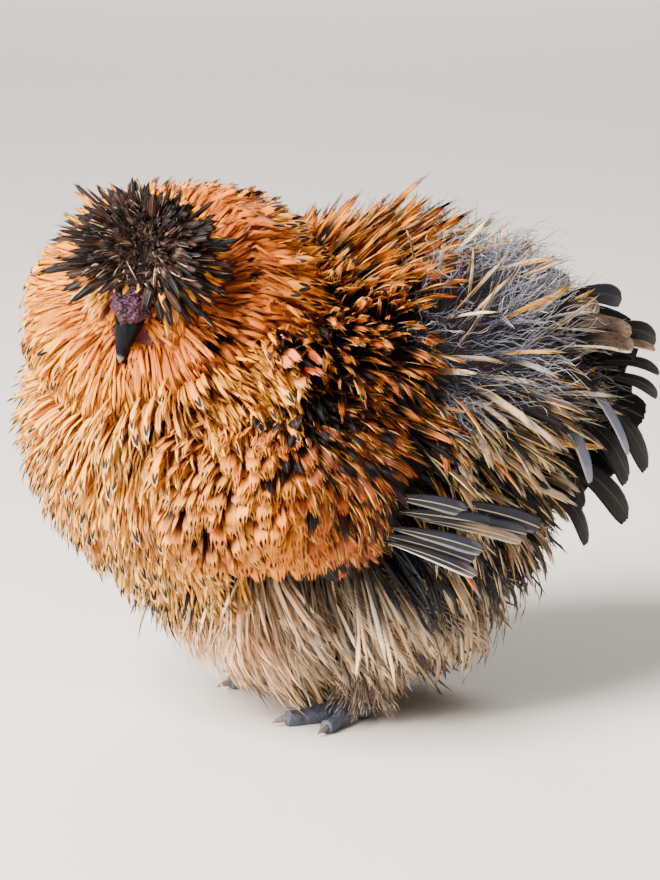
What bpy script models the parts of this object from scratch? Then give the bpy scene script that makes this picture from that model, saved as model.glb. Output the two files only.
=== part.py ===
"""A silkie hen with her plumage raised, head turned to her left and bowed towards the ground.

Metres, +Z up. The breast is towards -Y, the tail towards +Y and the bird's own left side towards +X.
"""

import math
import random

import bmesh
import bpy
from mathutils import Matrix, Vector

# Clearance that separate sub-parts keep to each other.
GAP = 0.0004

# The outer surface of the raised plumage is a soft blend of these ellipsoids: (centre, radii).
BODY_CENTRE = Vector((0.0, 0.010, 0.130))
BODY_FORMS = {
    "breast": ((0.0, -0.031, 0.147), (0.098, 0.095, 0.088)),
    "back": ((0.0, 0.035, 0.150), (0.094, 0.112, 0.086)),
    "cushion": ((0.0, 0.066, 0.156), (0.080, 0.088, 0.075)),
    "belly": ((0.0, 0.024, 0.099), (0.088, 0.104, 0.087)),
}
BLEND_POWER = 16.0
BODY_CORE_DEPTH = 0.026

# The hackle stands round the neck as a ruff.
RUFF_CENTRE = Vector((0.006, -0.056, 0.190))
RUFF_RADII = (0.068, 0.068, 0.060)
RUFF_CORE_DEPTH = 0.020

# The head: its centre, and its own axes. The crown faces the bird's left and the bill points down.
HEAD_CENTRE = Vector((0.040, -0.085, 0.222))
HEAD_BILL = Vector((0.100, -0.345, -0.930)).normalized()
HEAD_CROWN_HINT = Vector((0.870, -0.420, 0.250))
SKULL_RADII = (0.0135, 0.0190, 0.0145)
EYE_RADIUS = 0.0046
EYE_PLACE = Vector((0.0102, 0.0060, 0.0020))
LID_RADIUS = 0.0047
LID_THICKNESS = 0.0011
LID_LENGTHENING = 1.065


def frame_axes(forward, up_hint):
    """Matrix whose columns are right-to-left side, forward and up, from a forward axis and a rough up."""
    forward = forward.normalized()
    up = (up_hint - forward * up_hint.dot(forward)).normalized()
    side = up.cross(forward)
    return Matrix((side, forward, up)).transposed()


HEAD_AXES = frame_axes(HEAD_BILL, HEAD_CROWN_HINT)


def head_point(side, forward, up):
    """A point given in the head's own axes (left, bill-ward, crown-ward), in world space."""
    return HEAD_CENTRE + HEAD_AXES @ Vector((side, forward, up))


def mesh_object(name, bm):
    bmesh.ops.recalc_face_normals(bm, faces=bm.faces)
    if bm.calc_volume(signed=True) < 0.0:
        bmesh.ops.reverse_faces(bm, faces=bm.faces)
    mesh = bpy.data.meshes.new(name)
    bm.to_mesh(mesh)
    bm.free()
    obj = bpy.data.objects.new(name, mesh)
    bpy.context.scene.collection.objects.link(obj)
    return obj


def rounded_form(name, centre, radius_of, subdivisions):
    """A closed form whose distance from its centre is a function of direction."""
    bm = bmesh.new()
    bmesh.ops.create_icosphere(bm, subdivisions=subdivisions, radius=1.0)
    for vertex in bm.verts:
        direction = vertex.co.normalized()
        vertex.co = centre + direction * radius_of(direction)
    return mesh_object(name, bm)


def ellipsoid(name, centre, radii, axes=Matrix.Identity(3), subdivisions=3):
    bm = bmesh.new()
    bmesh.ops.create_icosphere(bm, subdivisions=subdivisions, radius=1.0)
    for vertex in bm.verts:
        scaled = Vector(a * b for a, b in zip(vertex.co, radii))
        vertex.co = centre + axes @ scaled
    return mesh_object(name, bm)


def ray_exit(start, direction, centre, radii):
    """Distance along a ray to the far side of an ellipsoid, or 0 where the ray misses it."""
    offset = Vector((start[i] - centre[i]) / radii[i] for i in range(3))
    step = Vector(direction[i] / radii[i] for i in range(3))
    a = step.dot(step)
    b = offset.dot(step)
    c = offset.dot(offset) - 1.0
    inside = b * b - a * c
    if inside <= 0.0:
        return 0.0
    return max(0.0, (math.sqrt(inside) - b) / a)


def body_coat_radius(direction):
    """Distance from BODY_CENTRE to the tips of the plumage."""
    total = sum(
        ray_exit(BODY_CENTRE, direction, centre, radii) ** BLEND_POWER
        for centre, radii in BODY_FORMS.values()
    )
    return total ** (1.0 / BLEND_POWER)


def ruff_coat_radius(direction):
    return ray_exit(RUFF_CENTRE, direction, RUFF_CENTRE, RUFF_RADII)


def vane(name, stations, tip, grow=0.0):
    """A closed feather blade lofted through flat sections.

    Each section is (point, side, normal, half width, half thickness). The edges are dropped below the
    shaft, as a feather cups over the body, and both faces are split into triangles alike so that a bent
    blade never crosses itself. A grown blade has blunt edges, to clear the plain one all round.
    """
    bm = bmesh.new()
    rings = []
    for i, (point, side, normal, half_width, half_thickness) in enumerate(stations):
        if grow and i == 0:
            point = point - (stations[1][0] - point).normalized() * (1.5 * grow)
        edge = side * (half_width + 1.5 * grow)
        cup = normal * (VANE_CUP * half_width)
        rise = normal * (half_thickness + 1.5 * grow)
        blunt = normal * (1.2 * grow)
        left = point - edge - cup
        right = point + edge - cup
        above = point + rise
        below = point - rise
        if grow:
            corners = (left - blunt, left + blunt, above, right + blunt, right - blunt, below)
        else:
            corners = (left, above, right, below)
        rings.append([bm.verts.new(corner) for corner in corners])
    sides = len(rings[0])
    shaft_above = sides // 2 - 1
    shaft_below = sides - 1
    for ring, following in zip(rings, rings[1:]):
        for k in range(sides):
            after = (k + 1) % sides
            if after in (shaft_above, shaft_below):
                bm.faces.new((ring[k], ring[after], following[after]))
                bm.faces.new((ring[k], following[after], following[k]))
            else:
                bm.faces.new((ring[k], ring[after], following[k]))
                bm.faces.new((ring[after], following[after], following[k]))
    end = bm.verts.new(tip + (tip - stations[-1][0]).normalized() * (3.0 * grow))
    last = rings[-1]
    for a, b in zip(last, last[1:] + last[:1]):
        bm.faces.new((a, b, end))
    root = rings[0]
    around = root[shaft_above + 1:] + root[:shaft_above]
    for a, b in zip(around, around[1:]):
        bm.faces.new((root[shaft_above], b, a))
    return mesh_object(name, bm)


def blade(name, points, facing, half_width, half_thickness, widths, grow=0.0):
    """A vane along a line of points that ends at its tip, its flat side turned to the facing direction."""
    stations = []
    for i, share in enumerate(widths):
        tangent = (points[i + 1] - points[max(0, i - 1)]).normalized()
        side = tangent.cross(facing).normalized()
        normal = side.cross(tangent)
        thickness = half_thickness * (1.0 - 0.5 * i / len(widths))
        stations.append((points[i], side, normal, half_width * share, thickness))
    return vane(name, stations, points[-1], grow)


def bent_line(root, tip, sag, shares):
    """Points from root to tip at the given shares of the way, bowed sideways by the vector sag."""
    return [root.lerp(tip, t) + sag * (4.0 * t * (1.0 - t)) for t in shares]


# Shares of a vane's length where its sections stand, and its width at each.
COAT_STATIONS = (0.0, 0.45, 0.86)
COAT_WIDTHS = (0.45, 0.95, 0.85)
QUILL_STATIONS = (0.0, 0.50, 0.88, 1.0)
QUILL_WIDTHS = (0.40, 0.95, 0.86)
LANCE_WIDTHS = (0.42, 1.00, 0.40)
VANE_CUP = 0.12
COAT_THICKNESS = 0.0006
QUILL_THICKNESS = 0.0006
LANCE_THICKNESS = 0.0005
ROOT_SINK = 0.006


def coat_vane(name, coat, root, lie, reach, half_width, roll=0.0, proud=0.0, grow=0.0):
    """A body feather: it leaves the core steeply and bends over until its tip lies in the coat's surface.

    The coat is given as (centre, distance from there to the surface by direction, depth of the core).
    """
    centre, coat_radius, core_depth = coat
    outer = coat_radius(root)
    shares = COAT_STATIONS + (1.0,)
    points = []
    for share in shares:
        direction = (root + lie * (reach * share / outer)).normalized()
        surface = coat_radius(direction) + proud
        base = surface - proud - core_depth - ROOT_SINK
        points.append(centre + direction * (base + (surface - base) * (1.0 - (1.0 - share) ** 2)))
    facing = root * math.cos(roll) + root.cross(lie) * math.sin(roll)
    return blade(name, points, facing, half_width, COAT_THICKNESS, COAT_WIDTHS, grow)


def even_directions(count):
    """Directions spread evenly over a sphere by the golden angle."""
    golden = math.pi * (3.0 - math.sqrt(5.0))
    for i in range(count):
        z = 1.0 - (2.0 * i + 1.0) / count
        ring = math.sqrt(1.0 - z * z)
        yield Vector((ring * math.cos(golden * i), ring * math.sin(golden * i), z))


def inside_ellipsoid(point, centre, radii, margin=0.0):
    return sum(((point[i] - centre[i]) / (radii[i] + margin)) ** 2 for i in range(3)) < 1.0


def along_surface(direction, normal):
    """The part of a direction that lies in the surface."""
    return (direction - normal * direction.dot(normal)).normalized()


# Body plumage: it flows away from the neck, over and under the body, and closes in on the tail.
NECK_POLE = Vector((0.020, -0.090, 0.195))
TAIL_POLE = Vector((0.0, 0.150, 0.130))
BODY_VANE_COUNT = 90
BODY_VANE_REACH = 0.050
BODY_VANE_HALF_WIDTH = 0.0135
HANG = 0.55

# Wings: a coat of coverts on a flat oval form at each side, given for the left wing.
WING_CENTRE = Vector((0.057, -0.027, 0.129))
WING_RADII = (0.051, 0.068, 0.049)
WING_CORE_DEPTH = 0.013
COVERT_COUNT = 60
COVERT_REACH = 0.031
COVERT_HALF_WIDTH = 0.0098
COVERT_LIE = Vector((0.0, 0.42, -0.90))
FLIGHT_COUNT = 6
FLIGHT_HALF_WIDTH = 0.0068

# Tail: a small fan of broad feathers that stands out behind through the cushion.
TAIL_CENTRE = Vector((0.0, 0.114, 0.140))
TAIL_CORE_RADII = (0.024, 0.025, 0.030)
TAIL_SIDE_COUNT = 6
TAIL_HIGH = math.radians(46)
TAIL_LOW = math.radians(-68)

# Neck and crest.
HACKLE_COUNT = 50
HACKLE_REACH = 0.046
HACKLE_HALF_WIDTH = 0.0100
CREST_RINGS = ((5, 64, 0.018), (9, 38, 0.029), (12, 12, 0.037))
CREST_BASE = Vector((0.0, -0.005, 0.010))
CREST_CORE_RADII = (0.0150, 0.0165, 0.0105)

# Legs and feet. The plumage is so full that the belly all but touches the floor.
FLOOR_LEVEL = 0.008
FOOT_SPREAD = 0.034
FOOT_PLACE_Y = 0.018
SHANK_RADIUS = 0.0052
SHANK_TOP = 0.050
TOES = {
    "middle": (-4, 0.033, 0.0040, 0.0),
    "outer": (34, 0.027, 0.0036, 0.0),
    "inner": (-40, 0.025, 0.0036, 0.0),
    "hind": (-158, 0.013, 0.0033, 0.0),
    "fifth": (-128, 0.012, 0.0030, 0.010),
}


def body_lie(direction):
    """The way the feathers point at a place on the body: from neck to tail, and drooping at the sides."""
    place = BODY_CENTRE + direction * body_coat_radius(direction)
    away = place - NECK_POLE
    towards = TAIL_POLE - place
    flow = away / away.length_squared + towards / towards.length_squared
    droop = HANG * (1.0 - abs(direction.z)) * Vector((0.0, 0.0, -1.0))
    return along_surface(flow.normalized() + droop, direction)


def torso_core(grow=0.0):
    def radius(direction):
        return body_coat_radius(direction) - BODY_CORE_DEPTH + grow

    return rounded_form("torso_core", BODY_CENTRE, radius, 3)


def under_other_parts(place):
    """True where the neck, a wing or the tail covers the body, so that no body feather grows there."""
    if inside_ellipsoid(place, RUFF_CENTRE, RUFF_RADII, -0.023):
        return True
    on_left = Vector((abs(place.x), place.y, place.z))
    if on_left.x > 0.05 and inside_ellipsoid(on_left, WING_CENTRE, WING_RADII, -0.008):
        return True
    return inside_ellipsoid(place, TAIL_CENTRE, TAIL_CORE_RADII, 0.004)


BODY_COAT = (BODY_CENTRE, body_coat_radius, BODY_CORE_DEPTH)
RUFF_COAT = (RUFF_CENTRE, ruff_coat_radius, RUFF_CORE_DEPTH)


def torso_vanes():
    rng = random.Random(11)
    vanes = []
    for i, direction in enumerate(even_directions(BODY_VANE_COUNT)):
        reach = BODY_VANE_REACH * rng.uniform(0.88, 1.08)
        half_width = BODY_VANE_HALF_WIDTH * rng.uniform(0.9, 1.1)
        roll = rng.uniform(-0.22, 0.22)
        proud = rng.uniform(-0.002, 0.002)
        surface = body_coat_radius(direction)
        place = BODY_CENTRE + direction * (surface - BODY_CORE_DEPTH)
        if under_other_parts(place) or direction.z < -0.96:
            continue
        vanes.append(
            coat_vane(
                f"torso_vane_{i}", BODY_COAT, direction, body_lie(direction), reach, half_width, roll, proud,
            )
        )
    return vanes


def ruff_lie(direction):
    pole = (HEAD_CENTRE - RUFF_CENTRE).normalized()
    return along_surface(-pole + Vector((0.0, 0.25, -0.15)), direction)


def neck_core(grow=0.0):
    radii = tuple(r - RUFF_CORE_DEPTH + grow for r in RUFF_RADII)
    return ellipsoid("neck_core", RUFF_CENTRE, radii, subdivisions=3)


def hackles(grow=0.0):
    rng = random.Random(5)
    pole = (HEAD_CENTRE - RUFF_CENTRE).normalized()
    vanes = []
    for i, direction in enumerate(even_directions(HACKLE_COUNT)):
        reach = HACKLE_REACH * rng.uniform(0.88, 1.1)
        roll = rng.uniform(-0.2, 0.2)
        proud = rng.uniform(-0.0015, 0.002)
        core = RUFF_CENTRE + direction * (ruff_coat_radius(direction) - RUFF_CORE_DEPTH)
        in_body = core - BODY_CENTRE
        torso_surface = body_coat_radius(in_body.normalized()) - BODY_CORE_DEPTH
        buried = in_body.length < torso_surface - 0.002
        from_pole = math.degrees(direction.angle(pole))
        if buried or from_pole < 38 or from_pole > 150:
            continue
        vanes.append(
            coat_vane(
                f"hackle_{i}", RUFF_COAT, direction, ruff_lie(direction), reach, HACKLE_HALF_WIDTH,
                roll, proud, grow,
            )
        )
    return vanes


def wing_radius(direction):
    return ray_exit(WING_CENTRE, direction, WING_CENTRE, WING_RADII)


def wing_core(grow=0.0):
    radii = tuple(r - WING_CORE_DEPTH + grow for r in WING_RADII)
    return ellipsoid("wing_core", WING_CENTRE, radii, subdivisions=3)


WING_COAT = (WING_CENTRE, wing_radius, WING_CORE_DEPTH)


def coverts(grow=0.0):
    rng = random.Random(7)
    vanes = []
    for i, direction in enumerate(even_directions(COVERT_COUNT)):
        reach = COVERT_REACH * rng.uniform(0.88, 1.1)
        roll = rng.uniform(-0.2, 0.2)
        proud = rng.uniform(-0.001, 0.0015)
        if direction.x < 0.30 - 0.22 * direction.z or direction.z < -0.80:
            continue
        vanes.append(
            coat_vane(
                f"covert_{i}", WING_COAT, direction, along_surface(COVERT_LIE, direction), reach,
                COVERT_HALF_WIDTH, roll, proud, grow,
            )
        )
    return vanes


def flight_feathers(grow=0.0):
    """Quills of the folded wing in tiers, from the low outer primary to the short inner ones."""
    first_root = Vector((0.080, -0.014, 0.100))
    last_root = Vector((0.084, 0.006, 0.120))
    first_tip = Vector((0.092, 0.050, 0.078))
    last_tip = Vector((0.078, 0.086, 0.107))
    vanes = []
    for i in range(FLIGHT_COUNT):
        t = i / (FLIGHT_COUNT - 1)
        tier = Vector((0.0012 * (i % 3), 0.0, 0.0))
        root = first_root.lerp(last_root, t)
        tip = first_tip.lerp(last_tip, t) + tier
        tip += (tip - root) * (0.06 * math.sin(math.pi * t))
        line = bent_line(root, tip, Vector((0.004, 0.0, 0.002)), QUILL_STATIONS)
        facing = Vector((1.0, 0.10, -0.15))
        half_width = FLIGHT_HALF_WIDTH
        vanes.append(blade(f"flight_{i}", line, facing, half_width, QUILL_THICKNESS, QUILL_WIDTHS, grow))
    return vanes


def tail_core(grow=0.0):
    radii = tuple(r + grow for r in TAIL_CORE_RADII)
    return ellipsoid("tail_core", TAIL_CENTRE, radii, subdivisions=2)


# Rows of tail feathers: name, how many a side, length, half width, extra splay in degrees.
TAIL_TIERS = (
    ("tail", TAIL_SIDE_COUNT, 0.064, 0.0100, 0.0),
    ("tail_covert", TAIL_SIDE_COUNT - 2, 0.046, 0.0090, 9.0),
)


def splayed(side, splay, rise):
    """A direction to the rear, turned out to one side and raised."""
    rearward = math.cos(splay)
    return Vector((side * math.sin(splay), rearward * math.cos(rise), rearward * math.sin(rise)))


def tail_feathers(grow=0.0):
    """Main feathers in a steep fan on each side, with shorter coverts lying over their roots."""
    rng = random.Random(3)
    vanes = []
    for label, count, length, half_width, spread in TAIL_TIERS:
        for side in (-1.0, 1.0):
            for i in range(count):
                t = i / (count - 1)
                rise = TAIL_HIGH + (TAIL_LOW - TAIL_HIGH) * t
                splay = math.radians(9.0 + 30.0 * t + spread)
                out = splayed(side, splay, rise)
                root = TAIL_CENTRE + out * 0.012
                tip = root + out * (length * rng.uniform(0.93, 1.05))
                facing = Vector((side, 0.35, 0.0))
                sag = Vector((side * 0.004, 0.0, 0.004 + 0.0016 * (i % 2)))
                line = bent_line(root, tip, sag, QUILL_STATIONS)
                name = f"{label}_{int(side)}_{i}"
                vanes.append(blade(name, line, facing, half_width, QUILL_THICKNESS, QUILL_WIDTHS, grow))
    return vanes


def loft(name, sections, tip=None, sides=10):
    """A closed form through oval sections, with a tip or a flat end.

    Each section is (centre, half width vector, half height vector).
    """
    bm = bmesh.new()
    rings = []
    for centre, across, upward in sections:
        ring = []
        for k in range(sides):
            angle = 2.0 * math.pi * k / sides
            ring.append(bm.verts.new(centre + across * math.cos(angle) + upward * math.sin(angle)))
        rings.append(ring)
    for ring, following in zip(rings, rings[1:]):
        for k in range(sides):
            after = (k + 1) % sides
            bm.faces.new((ring[k], ring[after], following[after], following[k]))
    bm.faces.new(rings[0])
    if tip is None:
        bm.faces.new(rings[-1])
    else:
        end = bm.verts.new(tip)
        for k in range(sides):
            bm.faces.new((rings[-1][k], rings[-1][(k + 1) % sides], end))
    bmesh.ops.triangulate(bm, faces=[face for face in bm.faces if len(face.verts) > 3])
    return mesh_object(name, bm)


def skull(grow=0.0):
    """The head without bill, comb or feathers: widest behind the eyes and drawn in towards the bill."""
    bm = bmesh.new()
    bmesh.ops.create_icosphere(bm, subdivisions=3, radius=1.0)
    for vertex in bm.verts:
        side, forward, up = vertex.co
        ahead = max(0.0, forward)
        narrow = 1.0 - 0.42 * ahead * ahead
        socket = 0.10 * math.exp(-((forward - 0.30) ** 2 + (up - 0.12) ** 2) / 0.10) * abs(side)
        place = (
            side * (SKULL_RADII[0] + grow) * (narrow - socket),
            forward * (SKULL_RADII[1] + grow),
            up * (SKULL_RADII[2] + grow) * (1.0 - 0.30 * ahead) - 0.0025 * ahead,
        )
        vertex.co = head_point(*place)
    return mesh_object("skull", bm)


def eye_centre(side):
    return head_point(side * EYE_PLACE.x, EYE_PLACE.y, EYE_PLACE.z)


def eye(side, grow=0.0):
    """The eyeball. Grown as a cutter it has fewer facets, so it is made larger to clear the real one."""
    radii = (EYE_RADIUS + 1.6 * grow,) * 3
    return ellipsoid("eyeball", eye_centre(side), radii, subdivisions=2 if grow else 3)


def eyelid(side, grow=0.0):
    """A fleshy ring round the eye, a little longer than it is high."""
    outward = HEAD_AXES @ Vector((side, 0.18, 0.08)).normalized()
    along = along_surface(HEAD_BILL, outward)
    across = outward.cross(along)
    bpy.ops.mesh.primitive_torus_add(
        major_radius=LID_RADIUS, minor_radius=LID_THICKNESS + grow, major_segments=10, minor_segments=4
    )
    ring = bpy.context.object
    bm = bmesh.new()
    bm.from_mesh(ring.data)
    bpy.data.objects.remove(ring)
    place = Matrix((along * LID_LENGTHENING, across / LID_LENGTHENING, outward)).transposed().to_4x4()
    place.translation = eye_centre(side) + outward * (0.62 * EYE_RADIUS)
    bmesh.ops.transform(bm, matrix=place, verts=bm.verts[:])
    bmesh.ops.triangulate(bm, faces=bm.faces[:])
    return mesh_object("eyelid", bm)


def earlobe(side, grow=0.0):
    place = head_point(side * 0.0125, -0.0060, -0.0040)
    radii = (0.0030 + grow, 0.0046 + grow, 0.0050 + grow)
    return ellipsoid("earlobe", place, radii, HEAD_AXES, 2)


def cheek_tuft(side, grow=0.0):
    """Short broad feathers below the eye, pointing past the corner of the bill."""
    vanes = []
    for i in range(4):
        root = head_point(side * 0.0085, -0.0080 + 0.0052 * i, -0.0070 + 0.0010 * i)
        reach = Vector((side * (0.85 - 0.08 * i), 0.35 + 0.14 * i, -0.30))
        tip = root + HEAD_AXES @ reach.normalized() * 0.021
        sag = HEAD_AXES @ Vector((side * 0.001, 0.0, 0.002))
        line = bent_line(root, tip, sag, QUILL_STATIONS)
        facing = HEAD_AXES @ Vector((side * 0.35, -0.2, 1.0))
        name = f"cheek_{side}_{i}"
        vanes.append(blade(name, line, facing, 0.0042, LANCE_THICKNESS, LANCE_WIDTHS, grow))
    return vanes


# Bill sections in the head's axes: forward, up, half width, half height.
UPPER_BILL = (
    (0.0120, 0.0005, 0.0062, 0.0054),
    (0.0200, 0.0005, 0.0058, 0.0050),
    (0.0280, -0.0006, 0.0046, 0.0042),
    (0.0345, -0.0026, 0.0032, 0.0031),
    (0.0398, -0.0052, 0.0018, 0.0020),
)
UPPER_BILL_TIP = (0.0432, -0.0086)
LOWER_BILL = (
    (0.0110, -0.0066, 0.0052, 0.0032),
    (0.0200, -0.0064, 0.0048, 0.0030),
    (0.0275, -0.0064, 0.0037, 0.0024),
    (0.0335, -0.0070, 0.0023, 0.0016),
)
LOWER_BILL_TIP = (0.0382, -0.0085)


def bill(name, rows, tip, grow=0.0):
    side_axis = HEAD_AXES @ Vector((1.0, 0.0, 0.0))
    up_axis = HEAD_AXES @ Vector((0.0, 0.0, 1.0))
    sections = [
        (head_point(0.0, forward, up), side_axis * (width + grow), up_axis * (height + grow))
        for forward, up, width, height in rows
    ]
    return loft(name, sections, head_point(0.0, tip[0] + 2.0 * grow, tip[1] - grow), 12)


def upper_bill(grow=0.0):
    return bill("upper", UPPER_BILL, UPPER_BILL_TIP, grow)


def lower_bill(grow=0.0):
    return bill("lower", LOWER_BILL, LOWER_BILL_TIP, grow)


def nostril(side):
    place = head_point(side * 0.0056, 0.0232, 0.0012)
    return ellipsoid("nostril", place, (0.0014, 0.0022, 0.0010), HEAD_AXES, 2)


COMB_CENTRE = Vector((0.0, 0.0175, 0.0088))
COMB_RADII = (0.0078, 0.0088, 0.0052)
COMB_BULBS = 9


def comb(grow=0.0):
    """The walnut comb: a low cushion crowded with round warts."""
    rng = random.Random(2)
    centre = head_point(*COMB_CENTRE)
    pieces = [ellipsoid("comb_base", centre, tuple(r + grow for r in COMB_RADII), HEAD_AXES, 2)]
    for i, direction in enumerate(even_directions(COMB_BULBS)):
        size = rng.uniform(0.0030, 0.0037)
        if direction.z < -0.25:
            continue
        place = Vector(a * b * 0.86 for a, b in zip(direction, COMB_RADII))
        radii = tuple(size * rng.uniform(0.85, 1.15) + grow for _ in range(3))
        pieces.append(ellipsoid(f"comb_wart_{i}", centre + HEAD_AXES @ place, radii, HEAD_AXES, 2))
    return pieces


# Lobes of a wattle in the head's axes: forward, up, radii.
WATTLE_LOBES = (
    (0.0150, -0.0125, (0.0030, 0.0044, 0.0066)),
    (0.0170, -0.0163, (0.0026, 0.0032, 0.0042)),
)


def wattle(side, grow=0.0):
    """A small rounded lappet that hangs beside the lower bill, with a fold along its edge."""
    pieces = []
    for forward, up, radii in WATTLE_LOBES:
        place = head_point(side * 0.0066, forward, up)
        pieces.append(ellipsoid("lappet", place, tuple(r + grow for r in radii), HEAD_AXES, 2))
    return pieces


def crest_core(grow=0.0):
    radii = tuple(r + grow for r in CREST_CORE_RADII)
    return ellipsoid("crest_core", head_point(*CREST_BASE), radii, HEAD_AXES, 2)


def crest_feathers(grow=0.0):
    """Rings of lance-shaped feathers that open like a flower round the crown and part before the comb."""
    rng = random.Random(9)
    vanes = []
    for ring, (count, elevation, length) in enumerate(CREST_RINGS):
        for i in range(count):
            azimuth = 2.0 * math.pi * (i + 0.5 * (ring % 2)) / count
            rise = math.radians(elevation + rng.uniform(-6.0, 6.0))
            reach = length * rng.uniform(0.90, 1.06) * (1.0 - 0.26 * max(0.0, -math.sin(azimuth)))
            if ring > 0 and math.sin(azimuth) > math.cos(math.radians(30)):
                continue
            level = Vector((math.cos(azimuth), math.sin(azimuth), 0.0)) * math.cos(rise)
            out = level + Vector((0.0, 0.0, math.sin(rise)))
            root = head_point(*(CREST_BASE + out * 0.0085))
            tip = head_point(*(CREST_BASE + out * (reach + 0.004)))
            crown = HEAD_AXES @ Vector((0.0, 0.0, 1.0))
            line = bent_line(root, tip, crown * 0.0030, QUILL_STATIONS)
            radial = HEAD_AXES @ out
            facing = crown if elevation < 50 else radial.cross(crown.cross(radial))
            name = f"crest_{ring}_{i}"
            vanes.append(blade(name, line, facing, 0.0056, LANCE_THICKNESS, LANCE_WIDTHS, grow))
    return vanes


def toe_axis(side, angle):
    """The way a toe points over the floor; angles open outwards from straight ahead."""
    turn = math.radians(angle) * side
    return Vector((math.sin(turn), -math.cos(turn), 0.0))


def foot_place(side):
    return Vector((side * FOOT_SPREAD, FOOT_PLACE_Y, FLOOR_LEVEL))


def toe(side, name, grow=0.0):
    angle, length, radius, lift = TOES[name]
    along = toe_axis(side, angle)
    across = Vector((-along.y, along.x, 0.0))
    start = foot_place(side)
    upward = Vector((0.0, 0.0, 1.0))
    sections = []
    for share, swell in ((0.0, 1.15), (0.28, 0.92), (0.48, 1.08), (0.88, 0.98), (1.0, 0.72)):
        height = radius * 0.80 + lift * share + 0.003 * (1.0 - share) ** 2
        r = radius * swell + grow
        place = start + along * (0.002 + length * share) + upward * height
        sections.append((place, across * r, upward * r))
    return loft(f"toe_{name}", sections, None, 6)


def sole_pad(side, grow=0.0):
    """The ball of the foot, where the toes meet."""
    place = foot_place(side) + Vector((0.0, 0.0, 0.0045))
    return ellipsoid("sole_pad", place, (0.0068 + grow, 0.0075 + grow, 0.0052 + grow), subdivisions=2)


def claw(side, name):
    """A blunt curved nail, set against the end of its toe."""
    angle, length, radius, lift = TOES[name]
    along = toe_axis(side, angle)
    across = Vector((-along.y, along.x, 0.0))
    end = foot_place(side) + along * (0.002 + length) + Vector((0.0, 0.0, radius * 0.80 + lift))
    upward = Vector((0.0, 0.0, 1.0))
    sections = []
    for share, width in ((-0.25, 0.0016), (0.10, 0.0016), (0.50, 0.0012), (0.80, 0.0007)):
        place = end + along * (share * 0.007) + upward * (0.0003 - 0.0012 * share * share)
        sections.append((place, across * width, upward * (width * 1.2)))
    return loft("claw", sections, end + along * 0.0074 - upward * 0.0014, 6)


def shank(side, grow=0.0):
    foot = foot_place(side)
    across = Vector((1.0, 0.0, 0.0))
    forward = Vector((0.0, 1.0, 0.0))
    sections = []
    for share, swell in ((0.0, 1.25), (0.16, 1.0), (0.70, 1.0), (1.0, 1.5)):
        height = 0.0035 + (SHANK_TOP - 0.0035) * share
        place = foot + Vector((-side * 0.004 * share, 0.008 * share, height))
        r = SHANK_RADIUS * swell + grow
        sections.append((place, across * r, forward * r))
    return loft("shank", sections, None, 8)


def leg_feathers(side, grow=0.0):
    """Silkie legs are feathered down their outer side and on to the middle toe."""
    vanes = []
    rows = ((0.030, 62, 0.024), (0.027, 100, 0.024), (0.022, 34, 0.021), (0.016, 80, 0.021))
    for i, (height, angle, length) in enumerate(rows):
        out = toe_axis(side, angle)
        root = foot_place(side) + Vector((0.0, 0.002, height)) + out * 0.002
        tip = root + out * length + Vector((0.0, 0.0, 0.004 - 0.62 * height))
        line = bent_line(root, tip, Vector((0.0, 0.0, 0.004)), QUILL_STATIONS)
        facing = (out * 0.5 + Vector((0.0, 0.0, 1.0))).normalized()
        name = f"leg_vane_{i}"
        vanes.append(blade(name, line, facing, 0.0046, LANCE_THICKNESS, QUILL_WIDTHS, grow))
    return vanes


def floor_block():
    """Everything below the floor, cut away so that the toes stand on small flats at one level."""
    bm = bmesh.new()
    bmesh.ops.create_cube(bm, size=0.2)
    bmesh.ops.translate(bm, verts=bm.verts[:], vec=(0.0, 0.0, FLOOR_LEVEL - 0.1))
    return mesh_object("floor_block", bm)


def combine(operation, obj, others):
    """Joins or cuts an object with a list of closed objects in one Boolean, and removes those objects."""
    holder = bpy.data.collections.new("operands")
    bpy.context.scene.collection.children.link(holder)
    for other in others:
        bpy.context.scene.collection.objects.unlink(other)
        holder.objects.link(other)
    modifier = obj.modifiers.new("boolean", "BOOLEAN")
    modifier.operation = operation
    modifier.operand_type = "COLLECTION"
    modifier.collection = holder
    modifier.solver = "MANIFOLD"
    graph = bpy.context.evaluated_depsgraph_get()
    mesh = bpy.data.meshes.new_from_object(obj.evaluated_get(graph))
    obj.modifiers.clear()
    obj.data = mesh
    for other in others:
        bpy.data.objects.remove(other)
    bpy.data.collections.remove(holder)
    return obj


def join(pieces):
    return combine("UNION", pieces[0], pieces[1:]) if len(pieces) > 1 else pieces[0]


def cut(obj, cutters):
    return combine("DIFFERENCE", obj, cutters)


def keep_largest(obj):
    """Leaves only the largest closed surface, dropping the tips that a cut has severed."""
    bm = bmesh.new()
    bm.from_mesh(obj.data)
    bmesh.ops.triangulate(bm, faces=bm.faces[:])
    unseen = set(bm.verts)
    islands = []
    while unseen:
        stack = [unseen.pop()]
        island = set(stack)
        while stack:
            for edge in stack.pop().link_edges:
                for vertex in edge.verts:
                    if vertex in unseen:
                        unseen.discard(vertex)
                        island.add(vertex)
                        stack.append(vertex)
        islands.append(island)

    def area(island):
        return sum(face.calc_area() for face in {f for vertex in island for f in vertex.link_faces})

    largest = max(islands, key=area)
    spare = [vertex for vertex in bm.verts if vertex not in largest]
    bmesh.ops.delete(bm, geom=spare, context="VERTS")
    bm.to_mesh(obj.data)
    bm.free()
    return obj


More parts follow.
